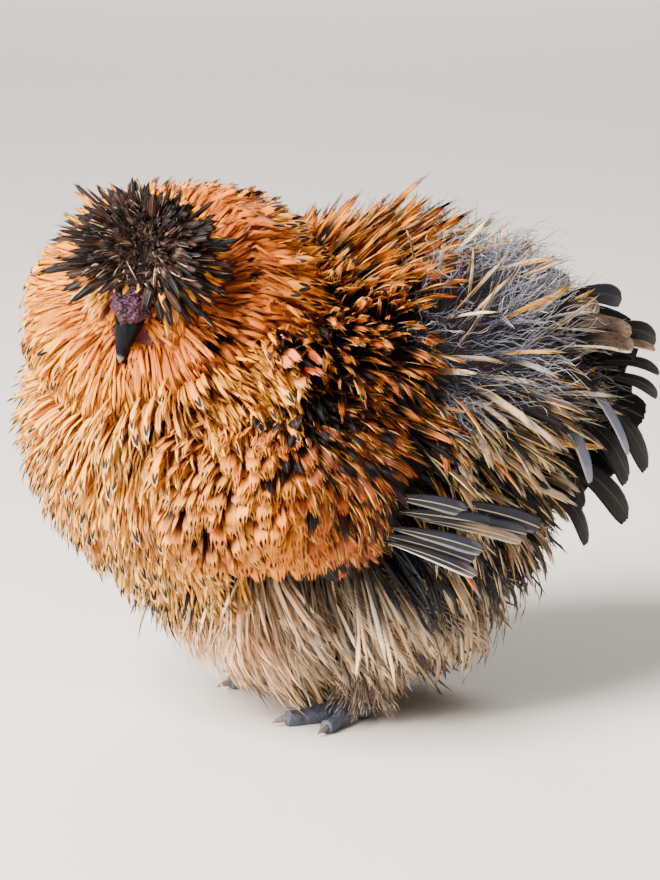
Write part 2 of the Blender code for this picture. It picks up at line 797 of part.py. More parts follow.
MATERIALS = {
    "plumage": ((0.62, 0.27, 0.07), 0.85),
    "crest_feather": ((0.05, 0.03, 0.025), 0.80),
    "tail_feather": ((0.06, 0.06, 0.07), 0.55),
    "face_skin": ((0.15, 0.06, 0.11), 0.60),
    "comb_skin": ((0.22, 0.08, 0.16), 0.50),
    "bill_horn": ((0.07, 0.08, 0.10), 0.30),
    "eye": ((0.02, 0.012, 0.01), 0.08),
    "leg_skin": ((0.10, 0.11, 0.13), 0.60),
    "claw_horn": ((0.16, 0.15, 0.14), 0.45),
}


def material(name):
    found = bpy.data.materials.get(name)
    if found:
        return found
    colour, roughness = MATERIALS[name]
    made = bpy.data.materials.new(name)
    made.use_nodes = True
    shader = made.node_tree.nodes["Principled BSDF"]
    shader.inputs["Base Color"].default_value = (*colour, 1.0)
    shader.inputs["Roughness"].default_value = roughness
    shader.inputs["Metallic"].default_value = 0.0
    return made


def finish_node(obj, name, material_name):
    keep_largest(obj)
    obj.name = name
    obj.data.name = name
    obj.data.materials.clear()
    obj.data.materials.append(material(material_name))
    return obj


def mirrored(pieces):
    """The same pieces on the other side of the body."""
    for obj in pieces:
        bm = bmesh.new()
        bm.from_mesh(obj.data)
        bmesh.ops.scale(bm, vec=(-1.0, 1.0, 1.0), verts=bm.verts[:])
        bmesh.ops.reverse_faces(bm, faces=bm.faces[:])
        bm.to_mesh(obj.data)
        bm.free()
    return pieces


def head_skin(grow):
    pieces = [skull(grow)]
    for side in (-1, 1):
        pieces += [eyelid(side, grow), earlobe(side, grow)]
    return pieces


def face_fittings(grow):
    """Comb, bill, wattles and eyes, as cutters for the feathers round them."""
    eyes = [eye(side, grow) for side in (-1, 1)]
    return comb(grow) + wattle(-1, grow) + wattle(1, grow) + [upper_bill(grow), lower_bill(grow)] + eyes


def head_feathers(grow):
    return cheek_tuft(-1, grow) + cheek_tuft(1, grow) + [crest_core(grow)] + crest_feathers(grow)


def neck_pieces(grow=0.0):
    return [neck_core(grow)] + hackles(grow)


def wing_pieces(side, grow=0.0):
    pieces = [wing_core(grow)] + coverts(grow) + flight_feathers(grow)
    return pieces if side > 0 else mirrored(pieces)


def tail_pieces(grow=0.0):
    return [tail_core(grow)] + tail_feathers(grow)


def leg_pieces(side, grow=0.0):
    toes = [toe(side, name, grow) for name in TOES]
    return [shank(side, grow), sole_pad(side, grow)] + toes + leg_feathers(side, grow)


SIDES = {"left": 1, "right": -1}


def build_head():
    tufts = cut(join(cheek_tuft(-1) + cheek_tuft(1)), face_fittings(GAP))
    head = cut(join(head_skin(0.0) + [tufts]), [eye(side, GAP) for side in (-1, 1)])
    finish_node(head, "head", "face_skin")
    for label, side in SIDES.items():
        finish_node(eye(side), f"eye_{label}", "eye")
        lappet = cut(join(wattle(side)), head_skin(GAP) + [lower_bill(GAP), upper_bill(GAP)])
        finish_node(lappet, f"wattle_{label}", "comb_skin")
    walnut = cut(join(comb()), head_skin(GAP) + [upper_bill(GAP)])
    finish_node(walnut, "comb", "comb_skin")
    upper = cut(upper_bill(), head_skin(GAP) + [nostril(-1), nostril(1)])
    finish_node(upper, "bill_upper", "bill_horn")
    lower = cut(lower_bill(), head_skin(GAP) + [upper_bill(GAP)])
    finish_node(lower, "bill_lower", "bill_horn")
    crest = join([crest_core()] + crest_feathers())
    cut(crest, head_skin(GAP) + cheek_tuft(-1, GAP) + cheek_tuft(1, GAP) + face_fittings(GAP))
    finish_node(crest, "crest", "crest_feather")


def build_neck():
    cutters = [torso_core(GAP)] + head_skin(GAP) + head_feathers(GAP) + face_fittings(GAP)
    finish_node(cut(join(neck_pieces()), cutters), "neck", "plumage")


def build_wings():
    for label, side in SIDES.items():
        wing = cut(join(wing_pieces(side)), [torso_core(GAP)] + neck_pieces(GAP))
        finish_node(wing, f"wing_{label}", "plumage")


def build_tail():
    quills = flight_feathers(GAP) + mirrored(flight_feathers(GAP))
    finish_node(cut(join(tail_pieces()), [torso_core(GAP)] + quills), "tail", "tail_feather")


def build_legs():
    for label, side in SIDES.items():
        leg = cut(join(leg_pieces(side)), [torso_core(GAP), floor_block()])
        finish_node(leg, f"leg_{label}", "leg_skin")
        for name in TOES:
            nail = cut(claw(side, name), [toe(side, other, GAP) for other in TOES])
            finish_node(nail, f"claw_{label}_{name}", "claw_horn")


def build_torso():
    others = neck_pieces(GAP) + wing_pieces(1, GAP) + wing_pieces(-1, GAP) + tail_pieces(GAP)
    others += leg_pieces(1, GAP) + leg_pieces(-1, GAP)
    others += head_skin(GAP) + head_feathers(GAP) + face_fittings(GAP)
    coat = cut(join(torso_vanes()), others)
    finish_node(join([torso_core(), coat]), "torso", "plumage")


def stand_on_floor():
    """Moves the hen so that the middle of her bounding box stands on the origin, at floor level."""
    nodes = [obj for obj in bpy.context.scene.objects if obj.type == "MESH"]
    corners = [vertex.co for obj in nodes for vertex in obj.data.vertices]
    low = Vector(min(corner[i] for corner in corners) for i in range(3))
    high = Vector(max(corner[i] for corner in corners) for i in range(3))
    shift = Matrix.Translation((-(low.x + high.x) / 2, -(low.y + high.y) / 2, -low.z))
    for obj in nodes:
        obj.data.transform(shift)
        obj.data.update()


def gather():
    """Puts every node in one collection, under an empty that carries the whole bird."""
    hen = bpy.data.collections.new("silkie_hen")
    bpy.context.scene.collection.children.link(hen)
    carrier = bpy.data.objects.new("hen", None)
    hen.objects.link(carrier)
    for obj in list(bpy.context.scene.collection.objects):
        bpy.context.scene.collection.objects.unlink(obj)
        hen.objects.link(obj)
        obj.parent = carrier


def main():
    for obj in list(bpy.data.objects):
        bpy.data.objects.remove(obj)
    build_head()
    build_neck()
    build_wings()
    build_tail()
    build_legs()
    build_torso()
    stand_on_floor()
    gather()


main()
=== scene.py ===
# %% [markdown]
# A silkie hen stands with every feather raised and her head bowed to the side. The solids of the bird are
# already packed. This script dresses them: the coat in layers, one skin under it, then comb, bill, eyes,
# small feathers, claws and light. All lengths are in metres.

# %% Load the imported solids
import math

import bmesh
import bpy
import numpy as np
from mathutils import Matrix, Vector


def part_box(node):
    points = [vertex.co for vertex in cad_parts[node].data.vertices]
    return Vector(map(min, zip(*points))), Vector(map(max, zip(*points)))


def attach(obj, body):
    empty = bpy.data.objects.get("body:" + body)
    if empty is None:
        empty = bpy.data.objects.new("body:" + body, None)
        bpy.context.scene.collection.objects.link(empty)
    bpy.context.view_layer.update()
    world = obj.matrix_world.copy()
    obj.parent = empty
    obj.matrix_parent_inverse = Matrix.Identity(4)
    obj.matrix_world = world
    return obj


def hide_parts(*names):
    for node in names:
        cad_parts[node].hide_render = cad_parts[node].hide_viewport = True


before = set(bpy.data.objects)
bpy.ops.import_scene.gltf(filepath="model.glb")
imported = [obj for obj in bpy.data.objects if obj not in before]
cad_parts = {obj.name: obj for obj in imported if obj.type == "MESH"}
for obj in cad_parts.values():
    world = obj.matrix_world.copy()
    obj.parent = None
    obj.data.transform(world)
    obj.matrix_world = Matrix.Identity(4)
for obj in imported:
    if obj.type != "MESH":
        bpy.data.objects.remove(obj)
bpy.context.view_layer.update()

print("nodes:", len(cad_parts))

# %% [markdown]
# The bird was drawn around her own origin and then set down on the floor. How far she was moved could be
# written down, but her eyes tell it even after a change: the point midway between them is known in both.

# %% Places shared with the solids
HEAD_CENTRE = Vector((0.04, -0.085, 0.222))
HEAD_BILL = Vector((0.1, -0.345, -0.93)).normalized()
HEAD_CROWN_HINT = Vector((0.87, -0.42, 0.25))
SKULL_RADII = (0.0135, 0.019, 0.0145)
EYE_RADIUS = 0.0046
EYE_PLACE = (0.0102, 0.006, 0.002)

head_up = (HEAD_CROWN_HINT - HEAD_BILL * HEAD_CROWN_HINT.dot(HEAD_BILL)).normalized()
head_left = head_up.cross(HEAD_BILL)
HEAD_AXES = Matrix((head_left, HEAD_BILL, head_up)).transposed()
HEAD_ARRAY = np.array(HEAD_AXES)


def head_point(left, ahead, up):
    """A point in the head's own axes: towards its left, towards the bill's tip and towards the crown."""
    return HEAD_CENTRE + HEAD_AXES @ Vector((left, ahead, up))


def head_local(points):
    """Places measured along the head's own axes."""
    return (points - np.array(HEAD_CENTRE)) @ HEAD_ARRAY


def to_head(points):
    """The way back: places given along the head's axes, in the drawing's coordinates."""
    return np.array(HEAD_CENTRE) + points @ HEAD_ARRAY.T


def box_middle(node):
    low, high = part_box(node)
    return (Vector(low) + Vector(high)) / 2


eyes_now = (box_middle("eye_left") + box_middle("eye_right")) / 2
SHIFT = eyes_now - head_point(0.0, EYE_PLACE[1], EYE_PLACE[2])
FLOOR = -SHIFT.z
print("set down by", [round(v, 4) for v in SHIFT])

# %% [markdown]
# The camera stands where the photographer crouched, to the bird's front left and a little above her back.
# Its long lens is found from the distance and from how many metres of bird one pixel shows. The picture is
# taller than wide, so the sensor's size counts along its height.

# %% Camera
VIEW_AZIMUTH = math.radians(65)
VIEW_HEIGHT = math.radians(12)
VIEW_DISTANCE = 1.4
VIEW_TARGET = Vector((0.0074, 0.016, 0.131))
METRES_PER_PIXEL = 0.00045
IMAGE_HEIGHT = 880
SENSOR_SIZE = 36.0

toward_camera = Vector((math.sin(VIEW_AZIMUTH) * math.cos(VIEW_HEIGHT),
                        -math.cos(VIEW_AZIMUTH) * math.cos(VIEW_HEIGHT), math.sin(VIEW_HEIGHT)))
camera_data = bpy.data.cameras.new("photo_camera")
camera_data.sensor_width = SENSOR_SIZE
camera_data.lens = VIEW_DISTANCE / METRES_PER_PIXEL * SENSOR_SIZE / IMAGE_HEIGHT
camera = bpy.data.objects.new("photo_camera", camera_data)
bpy.context.scene.collection.objects.link(camera)
camera.location = VIEW_TARGET + SHIFT + toward_camera * VIEW_DISTANCE
camera.rotation_euler = (-toward_camera).to_track_quat("-Z", "Y").to_euler()
bpy.context.scene.camera = camera
print("lens", round(camera_data.lens, 1), "mm")

# %% [markdown]
# A raised coat follows rounded forms. Feathers could be scattered on a modelled mesh, but each change to
# the mesh would move them all. So each form is a formula, its distance from a centre in any direction, and
# a place on the coat is just a direction. The body blends four ellipsoids.

# %% Forms that the coat follows
BLEND_POWER = 16.0
BODY_CENTRE = np.array((0.0, 0.01, 0.13))
BODY_ELLIPSOIDS = (
    ((0.0, -0.031, 0.147), (0.098, 0.095, 0.088)),
    ((0.0, 0.035, 0.15), (0.094, 0.112, 0.086)),
    ((0.0, 0.066, 0.156), (0.08, 0.088, 0.075)),
    ((0.0, 0.024, 0.099), (0.088, 0.104, 0.087)),
)
BODY_DEPTH = 0.026
RUFF_CENTRE = np.array((0.006, -0.056, 0.19))
RUFF_RADII = (0.068, 0.068, 0.06)
RUFF_DEPTH = 0.02
WING_CENTRE = np.array((0.057, -0.027, 0.129))
WING_RADII = (0.051, 0.068, 0.049)
WING_DEPTH = 0.013
TAIL_CENTRE = np.array((0.0, 0.114, 0.14))
TAIL_RADII = (0.024, 0.025, 0.03)


def unit(vectors):
    return vectors / np.linalg.norm(vectors, axis=-1, keepdims=True)


def dot(a, b):
    return (a * b).sum(axis=-1)


def ray_exit(start, directions, centre, radii):
    """Distance from start to the far side of an ellipsoid along each direction, 0 where it is missed."""
    offset = (np.asarray(start) - centre) / radii
    step = directions / radii
    a = dot(step, step)
    b = dot(offset, step)
    inside = b * b - a * (dot(offset, offset) - 1.0)
    return np.where(inside > 0.0, (np.sqrt(np.maximum(inside, 0.0)) - b) / a, 0.0).clip(0.0)


def body_radius(directions):
    total = sum(ray_exit(BODY_CENTRE, directions, c, r) ** BLEND_POWER for c, r in BODY_ELLIPSOIDS)
    return total ** (1.0 / BLEND_POWER)


def ruff_radius(directions):
    return ray_exit(RUFF_CENTRE, directions, RUFF_CENTRE, RUFF_RADII)


def wing_radius(directions):
    return ray_exit(WING_CENTRE, directions, WING_CENTRE, WING_RADII)


def inside_ellipsoid(points, centre, radii, margin=0.0):
    return (((points - centre) / (np.asarray(radii) + margin)) ** 2).sum(axis=-1) < 1.0


def folded(points):
    """The same places, all brought over to the bird's left."""
    return np.abs(points) * (1.0, 0.0, 0.0) + points * (0.0, 1.0, 1.0)


print("body coat reaches", round(float(body_radius(np.array([0.0, 1.0, 0.0]))), 4), "m behind its centre")

# %% [markdown]
# Roots placed by chance would leave bald spots, so they follow the golden angle, as seeds do in a
# sunflower. In a real coat whole locks turn the same way, so smooth random waves turn neighbours together.

# %% Even roots and tousled locks
WAVE_COUNT = 14
FULL_WAVE = 6.28
USUAL_SUM = 2.6


def even_directions(count):
    """Directions spread evenly over a sphere, each turned by the golden angle from the last."""
    i = np.arange(count)
    z = 1.0 - (2.0 * i + 1.0) / count
    ring = np.sqrt(1.0 - z * z)
    turn = math.pi * (3.0 - math.sqrt(5.0)) * i
    return np.stack([ring * np.cos(turn), ring * np.sin(turn), z], axis=1)


def tousle(directions, seed, fineness):
    """A smooth random field over the sphere of directions, about -1 to 1, alike for neighbouring feathers."""
    waves = np.random.default_rng(seed)
    runs = waves.normal(0.0, fineness, (WAVE_COUNT, 3))
    starts = waves.uniform(0.0, FULL_WAVE, WAVE_COUNT)
    return np.sin(directions @ runs.T + starts).sum(axis=1) / USUAL_SUM


def tousle_vector(directions, seed, fineness):
    return np.stack([tousle(directions, seed + k, fineness) for k in range(3)], axis=1)


def along_surface(vectors, normals):
    """The part of each vector that lies in the surface with that normal."""
    return unit(vectors - normals * dot(vectors, normals)[..., None])


print("roots 1 and 2 of 1000:", even_directions(1000)[:2].round(3).tolist())

# %% [markdown]
# Colours are written as they look on a screen, from 0 to 255, because they are easy to pick so, and turned
# into the linear values that Blender shades with.

# %% Colours
def screen(red, green, blue):
    values = np.array((red, green, blue)) / 255.0
    return np.where(values <= 0.04045, values / 12.92, ((values + 0.055) / 1.055) ** 2.4)


ORANGE = screen(238, 132, 4)
AMBER = screen(250, 168, 24)
BUFF = screen(252, 200, 100)
CREAM = screen(255, 236, 200)
PINKISH = screen(250, 192, 140)
RUST = screen(176, 76, 14)
CHESTNUT = screen(104, 38, 10)
UMBER = screen(52, 24, 14)
BLACK = screen(12, 8, 9)
CHARCOAL = screen(32, 30, 36)
SLATE = screen(66, 72, 92)
DOWN_GREY = screen(124, 124, 140)
PALE_GREY = screen(214, 208, 206)
TAUPE = screen(160, 130, 106)
print("orange in linear light", ORANGE.round(3))

# %% [markdown]
# A webbed feather could be a flat card with a see-through picture of barbs, but a card looks like paper
# from the side. Here the vane is a thin closed blade, fullest at the shaft. Its tip is slit into fingers,
# because a silkie's barbs don't hook together well.

# %% A webbed feather
def web_shape(rng, stations, columns, outline, slit, blunt=0.12, cup=0.14, thickness=0.03, sweep=0.0,
              ripple=0.1):
    """One vane: how far along, across and proud each vertex is, in lengths and half widths.

    The outline gives pairs of station and width. Slit and blunt shorten the tip, cup bends the rims
    down, sweep bends the shaft sideways, and ripple curls the columns up or down at random.
    """
    place, along, across, proud = {}, [], [], []
    slits = rng.uniform(0.45, 1.0, columns + 1) * slit
    slits[0::2] = rng.uniform(0.0, 0.25, len(slits[0::2])) * slit
    waves = rng.normal(0.0, ripple, columns + 1)
    last = len(stations) - 1
    for i, station in enumerate(stations):
        for j in range(columns + 1):
            u = 2.0 * j / columns - 1.0
            t = station
            if i == last:
                t -= slits[j] + blunt * u * u
            width = np.interp(t, *zip(*outline))
            rim = i in (0, last) or j in (0, columns)
            for face in (1.0, -1.0):
                if rim and face < 0.0:
                    place[i, j, -1.0] = place[i, j, 1.0]
                    continue
                place[i, j, face] = len(along)
                along.append(t)
                across.append(u)
                fullness = 0.0 if rim else face * thickness * (1.0 - u * u)
                proud.append((width * u + sweep * t * t, fullness - cup * width * u * u + waves[j] * t ** 3))
    triangles = []
    for i in range(last):
        for j in range(columns):
            for face in (1.0, -1.0):
                a, b = place[i, j, face], place[i, j + 1, face]
                c, d = place[i + 1, j + 1, face], place[i + 1, j, face]
                corners = ((a, b, c), (a, c, d)) if face > 0 else ((a, c, b), (a, d, c))
                triangles.extend(corners)
    sideways, rise = np.array(proud).T
    return {"along": np.array(along), "across": np.array(across), "sideways": sideways, "rise": rise,
            "triangles": np.array(triangles)}


plain_vane = web_shape(np.random.default_rng(0), (0.0, 0.5, 1.0), 4, ((0.0, 1.0), (1.0, 1.0)), slit=0.2)
print("corners of a plain vane:", len(plain_vane["along"]))

# %% [markdown]
# Down has no vane: its barbs are loose threads. Hair strands could show them, but a library part needs real
# meshes, so each lock of barbs is a thin three-sided spike that curls.

# %% A downy feather
def plume_shape(rng, strands, spread, fineness, start=0.1, curl=0.25, waves=0.0):
    """A loose downy feather: locks of barbs that leave the shaft on both sides, wavy if waves is above 0."""
    along, across, sideways, rise, triangles = [], [], [], [], []
    for k in range(strands):
        side = 1.0 if k % 2 else -1.0
        leave = start + (0.72 - start) * (k / strands) ** 0.9
        reach = rng.uniform(0.26, 0.42) * (1.15 - 0.4 * leave)
        if k == strands - 1:
            side, reach = rng.uniform(-0.2, 0.2), 1.0 - leave
        out = side * spread * rng.uniform(0.5, 1.15)
        lift = rng.uniform(-0.5, 0.7) * curl
        bend = rng.uniform(-0.35, 0.35)
        first = len(along)
        phase = rng.uniform(0.0, 2.0 * math.pi)
        steps = (0.0, 0.2, 0.4, 0.6, 0.8) if waves else (0.0, 0.35, 0.72)
        for s in steps:
            thick = fineness * (1.0 - 0.45 * s)
            wave = waves * s * math.sin(6.0 * s + phase)
            roll = waves * s * math.cos(7.0 * s + phase)
            for corner in ((-1.0, -0.35), (1.0, -0.35), (0.0, 0.65)):
                along.append(leave + reach * s)
                across.append(min(1.0, abs(out) * s) * side)
                sideways.append(out * (s ** 0.8) + bend * s * s + corner[0] * thick + wave)
                rise.append(lift * s * s + corner[1] * thick + 0.6 * roll)
        along.append(leave + reach)
        across.append(min(1.0, abs(out)) * side)
        sideways.append(out * 0.9 + bend)
        rise.append(lift)
        for ring in range(len(steps) - 1):
            for c in range(3):
                a, b = first + 3 * ring + c, first + 3 * ring + (c + 1) % 3
                triangles += [(a, b, b + 3), (a, b + 3, a + 3)]
        last = first + 3 * (len(steps) - 1)
        for c in range(3):
            triangles.append((last + c, last + (c + 1) % 3, last + 3))
        triangles.append((first, first + 2, first + 1))
    return {"along": np.array(along), "across": np.array(across), "sideways": np.array(sideways),
            "rise": np.array(rise), "triangles": np.array(triangles)}


# %% [markdown]
# No two feathers match. Modelling each one would take for ever, so a few shapes of every sort are made and
# dealt out at random. All draw on one source of chance, in this order.

# %% The stock of shapes
COVERT_OUTLINE = ((0.0, 0.22), (0.3, 0.78), (0.55, 1.0), (0.8, 0.92), (1.0, 0.55))
NARROW_OUTLINE = ((0.0, 0.3), (0.3, 0.85), (0.6, 1.0), (0.85, 0.8), (1.0, 0.36))
LANCE_OUTLINE = ((0.0, 0.35), (0.35, 0.9), (0.62, 1.0), (0.85, 0.66), (1.0, 0.04))
ROUND_OUTLINE = ((0.0, 0.22), (0.35, 0.72), (0.72, 1.0), (0.9, 0.9), (0.97, 0.66), (1.0, 0.34))
QUILL_STATIONS = (0.0, 0.1, 0.22, 0.36, 0.5, 0.64, 0.76, 0.86, 0.93, 0.97, 1.0)
shape_rng = np.random.default_rng(4)


def vanes(sweeps, stations, columns, outline, **finish):
    """Webbed shapes, one for each sideways sweep of the shaft."""
    return [web_shape(shape_rng, stations, columns, outline, sweep=sweep, **finish) for sweep in sweeps]


def plumes(how_many, **form):
    return [plume_shape(shape_rng, **form) for _ in range(how_many)]


COVERT_SHAPES = vanes((-0.5, -0.2, 0.0, 0.2, 0.5, 0.3), (0.0, 0.34, 0.64, 1.0), 8, COVERT_OUTLINE, slit=0.26)
NARROW_SHAPES = vanes((-0.8, -0.3, 0.0, 0.3, 0.8, 0.5), (0.0, 0.32, 0.6, 1.0), 6, NARROW_OUTLINE, slit=0.34,
                      ripple=0.16)
SMOOTH_LANCES = vanes((-0.9, -0.3, 0.0, 0.3, 0.9), (0.0, 0.3, 0.58, 0.82, 1.0), 4, LANCE_OUTLINE, slit=0.05,
                      blunt=0.0, cup=0.22)
ROUND_SHAPES = vanes((-0.3, 0.0, 0.3), QUILL_STATIONS, 8, ROUND_OUTLINE, slit=0.02, blunt=0.03, cup=0.12,
                     thickness=0.035, ripple=0.02)
PLUME_SHAPES = plumes(8, strands=9, spread=0.95, fineness=0.05)
DOWN_SHAPES = plumes(8, strands=10, spread=1.2, fineness=0.042, start=0.02, curl=0.8)
WISP_SHAPES = plumes(3, strands=5, spread=0.9, fineness=0.075, start=0.25, curl=0.5)
LONG_SHAPES = vanes((-1.6, -0.8, 0.8, 1.6), (0.0, 0.25, 0.5, 0.74, 1.0), 6, NARROW_OUTLINE, slit=0.2,
                    ripple=0.16)
SILK_SHAPES = vanes((-1.8, -0.9, -0.3, 0.3, 0.9, 1.8), (0.0, 0.36, 0.7, 1.0), 4, NARROW_OUTLINE, slit=0.3,
                    blunt=0.05, cup=0.2, thickness=0.05, ripple=0.2)
RAGGED_SHAPES = vanes((-2.2, -1.0, -0.4, 0.4, 1.0, 2.2), (0.0, 0.3, 0.6, 0.82, 1.0), 6, LANCE_OUTLINE,
                      slit=0.16, blunt=0.05, cup=0.25, thickness=0.05, ripple=0.3)
CURL_SHAPES = plumes(8, strands=9, spread=1.3, fineness=0.034, start=0.0, curl=0.9, waves=0.55)
FINE_SHAPES = vanes((-0.9, -0.5, -0.2, 0.1, 0.4, 0.8), (0.0, 0.38, 0.72, 1.0), 2, NARROW_OUTLINE, slit=0.1,
                    blunt=0.3, cup=0.2, thickness=0.06, ripple=0.25)
TICK_SHAPES = vanes((-0.7, -0.2, 0.2, 0.7), (0.0, 0.34, 0.64, 0.84, 1.0), 4, NARROW_OUTLINE, slit=0.1,
                    blunt=0.12, cup=0.16, thickness=0.04)
for label, family in (("covert", COVERT_SHAPES), ("smooth lance", SMOOTH_LANCES), ("plume", PLUME_SHAPES),
                      ("down", DOWN_SHAPES), ("silk", SILK_SHAPES), ("fine strand", FINE_SHAPES)):
    print(label, len(family), "shapes of", len(family[0]["triangles"]), "triangles")

# %% [markdown]
# A feather leaves the skin, bends over and lies along the coat. Thousands of curve objects would be slow,
# so a function gives the place on every shaft for any share t of its length. One kind follows a form, the
# other runs in a bow from root to tip.

# %% Shafts
def on_form(centre, radius_of, roots, lie, reach, depth, proud, lift, steepness=1.7):
    """Shaft of each feather: it leaves the skin, bends over and lies along the coat, its tip a little up."""
    outer = radius_of(roots)

    def shaft(t):
        turn = (reach / outer)[:, None] * t
        directions = unit(roots[:, None, :] + lie[:, None, :] * turn[..., None])
        height = radius_of(directions) + proud[:, None] + lift[:, None] * t * t
        height = height - depth * (1.0 - t).clip(0.0) ** steepness
        return centre + directions * height[..., None]

    return shaft


def on_line(roots, tips, sag):
    """Shaft of each feather along a bowed line from root to tip."""
    def shaft(t):
        run = roots[:, None, :] + (tips - roots)[:, None, :] * t[..., None]
        return run + sag[:, None, :] * (4.0 * t * (1.0 - t))[..., None]

    return shaft


bowed = on_line(np.zeros((1, 3)), np.ones((1, 3)), np.array([[0.0, 0.0, 0.2]]))
print("middle of a bowed line from 0,0,0 to 1,1,1:", bowed(np.array([[0.5]]))[0, 0])

# %% [markdown]
# As separate objects the feathers would choke Blender, so a piece of coat is one joined mesh, filled from
# arrays, and what the colouring needs is stored on its vertices. Each piece rides on the bird's body and
# takes the place of the solids that it covers.

# %% Making a piece
def mesh_piece(name, points, faces, uv=None):
    mesh = bpy.data.meshes.new(name)
    mesh.vertices.add(len(points))
    mesh.vertices.foreach_set("co", (points + np.array(SHIFT)).astype(np.float32).ravel())
    mesh.loops.add(faces.size)
    mesh.loops.foreach_set("vertex_index", faces.astype(np.int32).ravel())
    mesh.polygons.add(len(faces))
    mesh.polygons.foreach_set("loop_start", np.arange(0, faces.size, faces.shape[1], dtype=np.int32))
    mesh.update(calc_edges=True)
    mesh.shade_smooth()
    if uv is not None:
        layer = mesh.uv_layers.new(name="OFBake")
        layer.uv.foreach_set("vector", uv[faces.ravel()].astype(np.float32).ravel())
    obj = bpy.data.objects.new(name, mesh)
    bpy.context.scene.collection.objects.link(obj)
    return obj


def store(obj, name, values):
    """Keep three numbers on every vertex, for the material to read."""
    layer = obj.data.attributes.new(name, "FLOAT_VECTOR", "POINT")
    layer.data.foreach_set("vector", values.astype(np.float32).ravel())


def adopt(obj, material, slot, *replaced):
    """The finishing steps that every piece needs."""
    obj.data.materials.clear()
    obj.data.materials.append(material)
    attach(obj, "root")
    if replaced:
        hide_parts(*replaced)
    obj.data.calc_loop_triangles()
    print(obj.name, len(obj.data.loop_triangles), "triangles")


# %% [markdown]
# To grow a feather, its flat shape is bent round its shaft. Unwrapping each one would scatter the map for
# baking, so each has a small patch of its own there, at its root's place on the unrolled form.

# %% Growing feathers
PATCH = 0.003
MAP_MARGIN = 0.004
MAP_SPAN = 0.988
SHAFT_STEP = 0.02
FLOOR_GAP = 0.0004
LAST_SHAPES = 4


def unwrap(directions):
    """The place of a direction on the unrolled form, kept clear of the map's edges."""
    east = np.arctan2(directions[:, 0], -directions[:, 1]) / (2.0 * math.pi) + 0.5
    north = np.arccos(directions[:, 2].clip(-1.0, 1.0)) / math.pi
    return np.stack([MAP_MARGIN + MAP_SPAN * east, MAP_MARGIN + MAP_SPAN * north], axis=1)


def grow(name, shapes, shaft, facing, half_width, roots, tints, marks, rng):
    """Joined mesh of all the feathers, with what the colouring needs to know stored on its vertices.

    Feathers with strong drops take one of the last shapes in the list, which are the ones made for them.
    """
    count = len(half_width)
    drawn = rng.integers(0, len(shapes), count)
    from_end = len(shapes) - 1 - drawn % min(LAST_SHAPES, len(shapes))
    pick = np.where(marks[:, 0] > 0.5, from_end, drawn)
    seeds = rng.uniform(0.0, 1.0, count)
    patches = unwrap(roots)
    points, faces, vane, uv, owners = [], [], [], [], []
    total = 0
    for k, shape in enumerate(shapes):
        chosen = np.nonzero(pick == k)[0]
        if len(chosen) == 0:
            continue
        t = np.broadcast_to(shape["along"], (count, len(shape["along"])))
        at = shaft(t)[chosen]
        ahead = shaft(t + SHAFT_STEP)[chosen]
        tangent = unit(ahead - at)
        side = unit(np.cross(tangent, facing[chosen][:, None, :]))
        normal = np.cross(side, tangent)
        width = half_width[chosen][:, None, None]
        at = at + side * width * shape["sideways"][None, :, None]
        at = at + normal * width * shape["rise"][None, :, None]
        size = len(shape["along"])
        starts = total + size * np.arange(len(chosen))
        points.append(at.reshape(-1, 3))
        faces.append((shape["triangles"][None] + starts[:, None, None]).reshape(-1, 3))
        seed = np.repeat(seeds[chosen][:, None], size, axis=1)
        across = np.broadcast_to(shape["across"], seed.shape)
        vane.append(np.stack([t[chosen], across, seed], axis=2).reshape(-1, 3))
        patch = np.stack([0.5 * across, t[chosen]], axis=2) * PATCH
        uv.append((patch + patches[chosen][:, None, :]).reshape(-1, 2))
        owners.append(np.repeat(chosen, size))
        total += size * len(chosen)
    points, faces, vane, uv, owners = (np.concatenate(parts) for parts in (points, faces, vane, uv, owners))
    points[:, 2] = points[:, 2].clip(FLOOR + FLOOR_GAP)
    obj = mesh_piece(name, points, faces, uv)
    store(obj, "vane", vane)
    store(obj, "marks", marks[owners])
    for label, tint in zip(("root_tint", "ground_tint", "tip_tint"), tints):
        store(obj, label, tint[owners])
    return obj


# %% [markdown]
# Materials are built from nodes, which can be placed by hand in the shader editor. A script keeps them
# repeatable, and this class shortens the words for adding and wiring them.

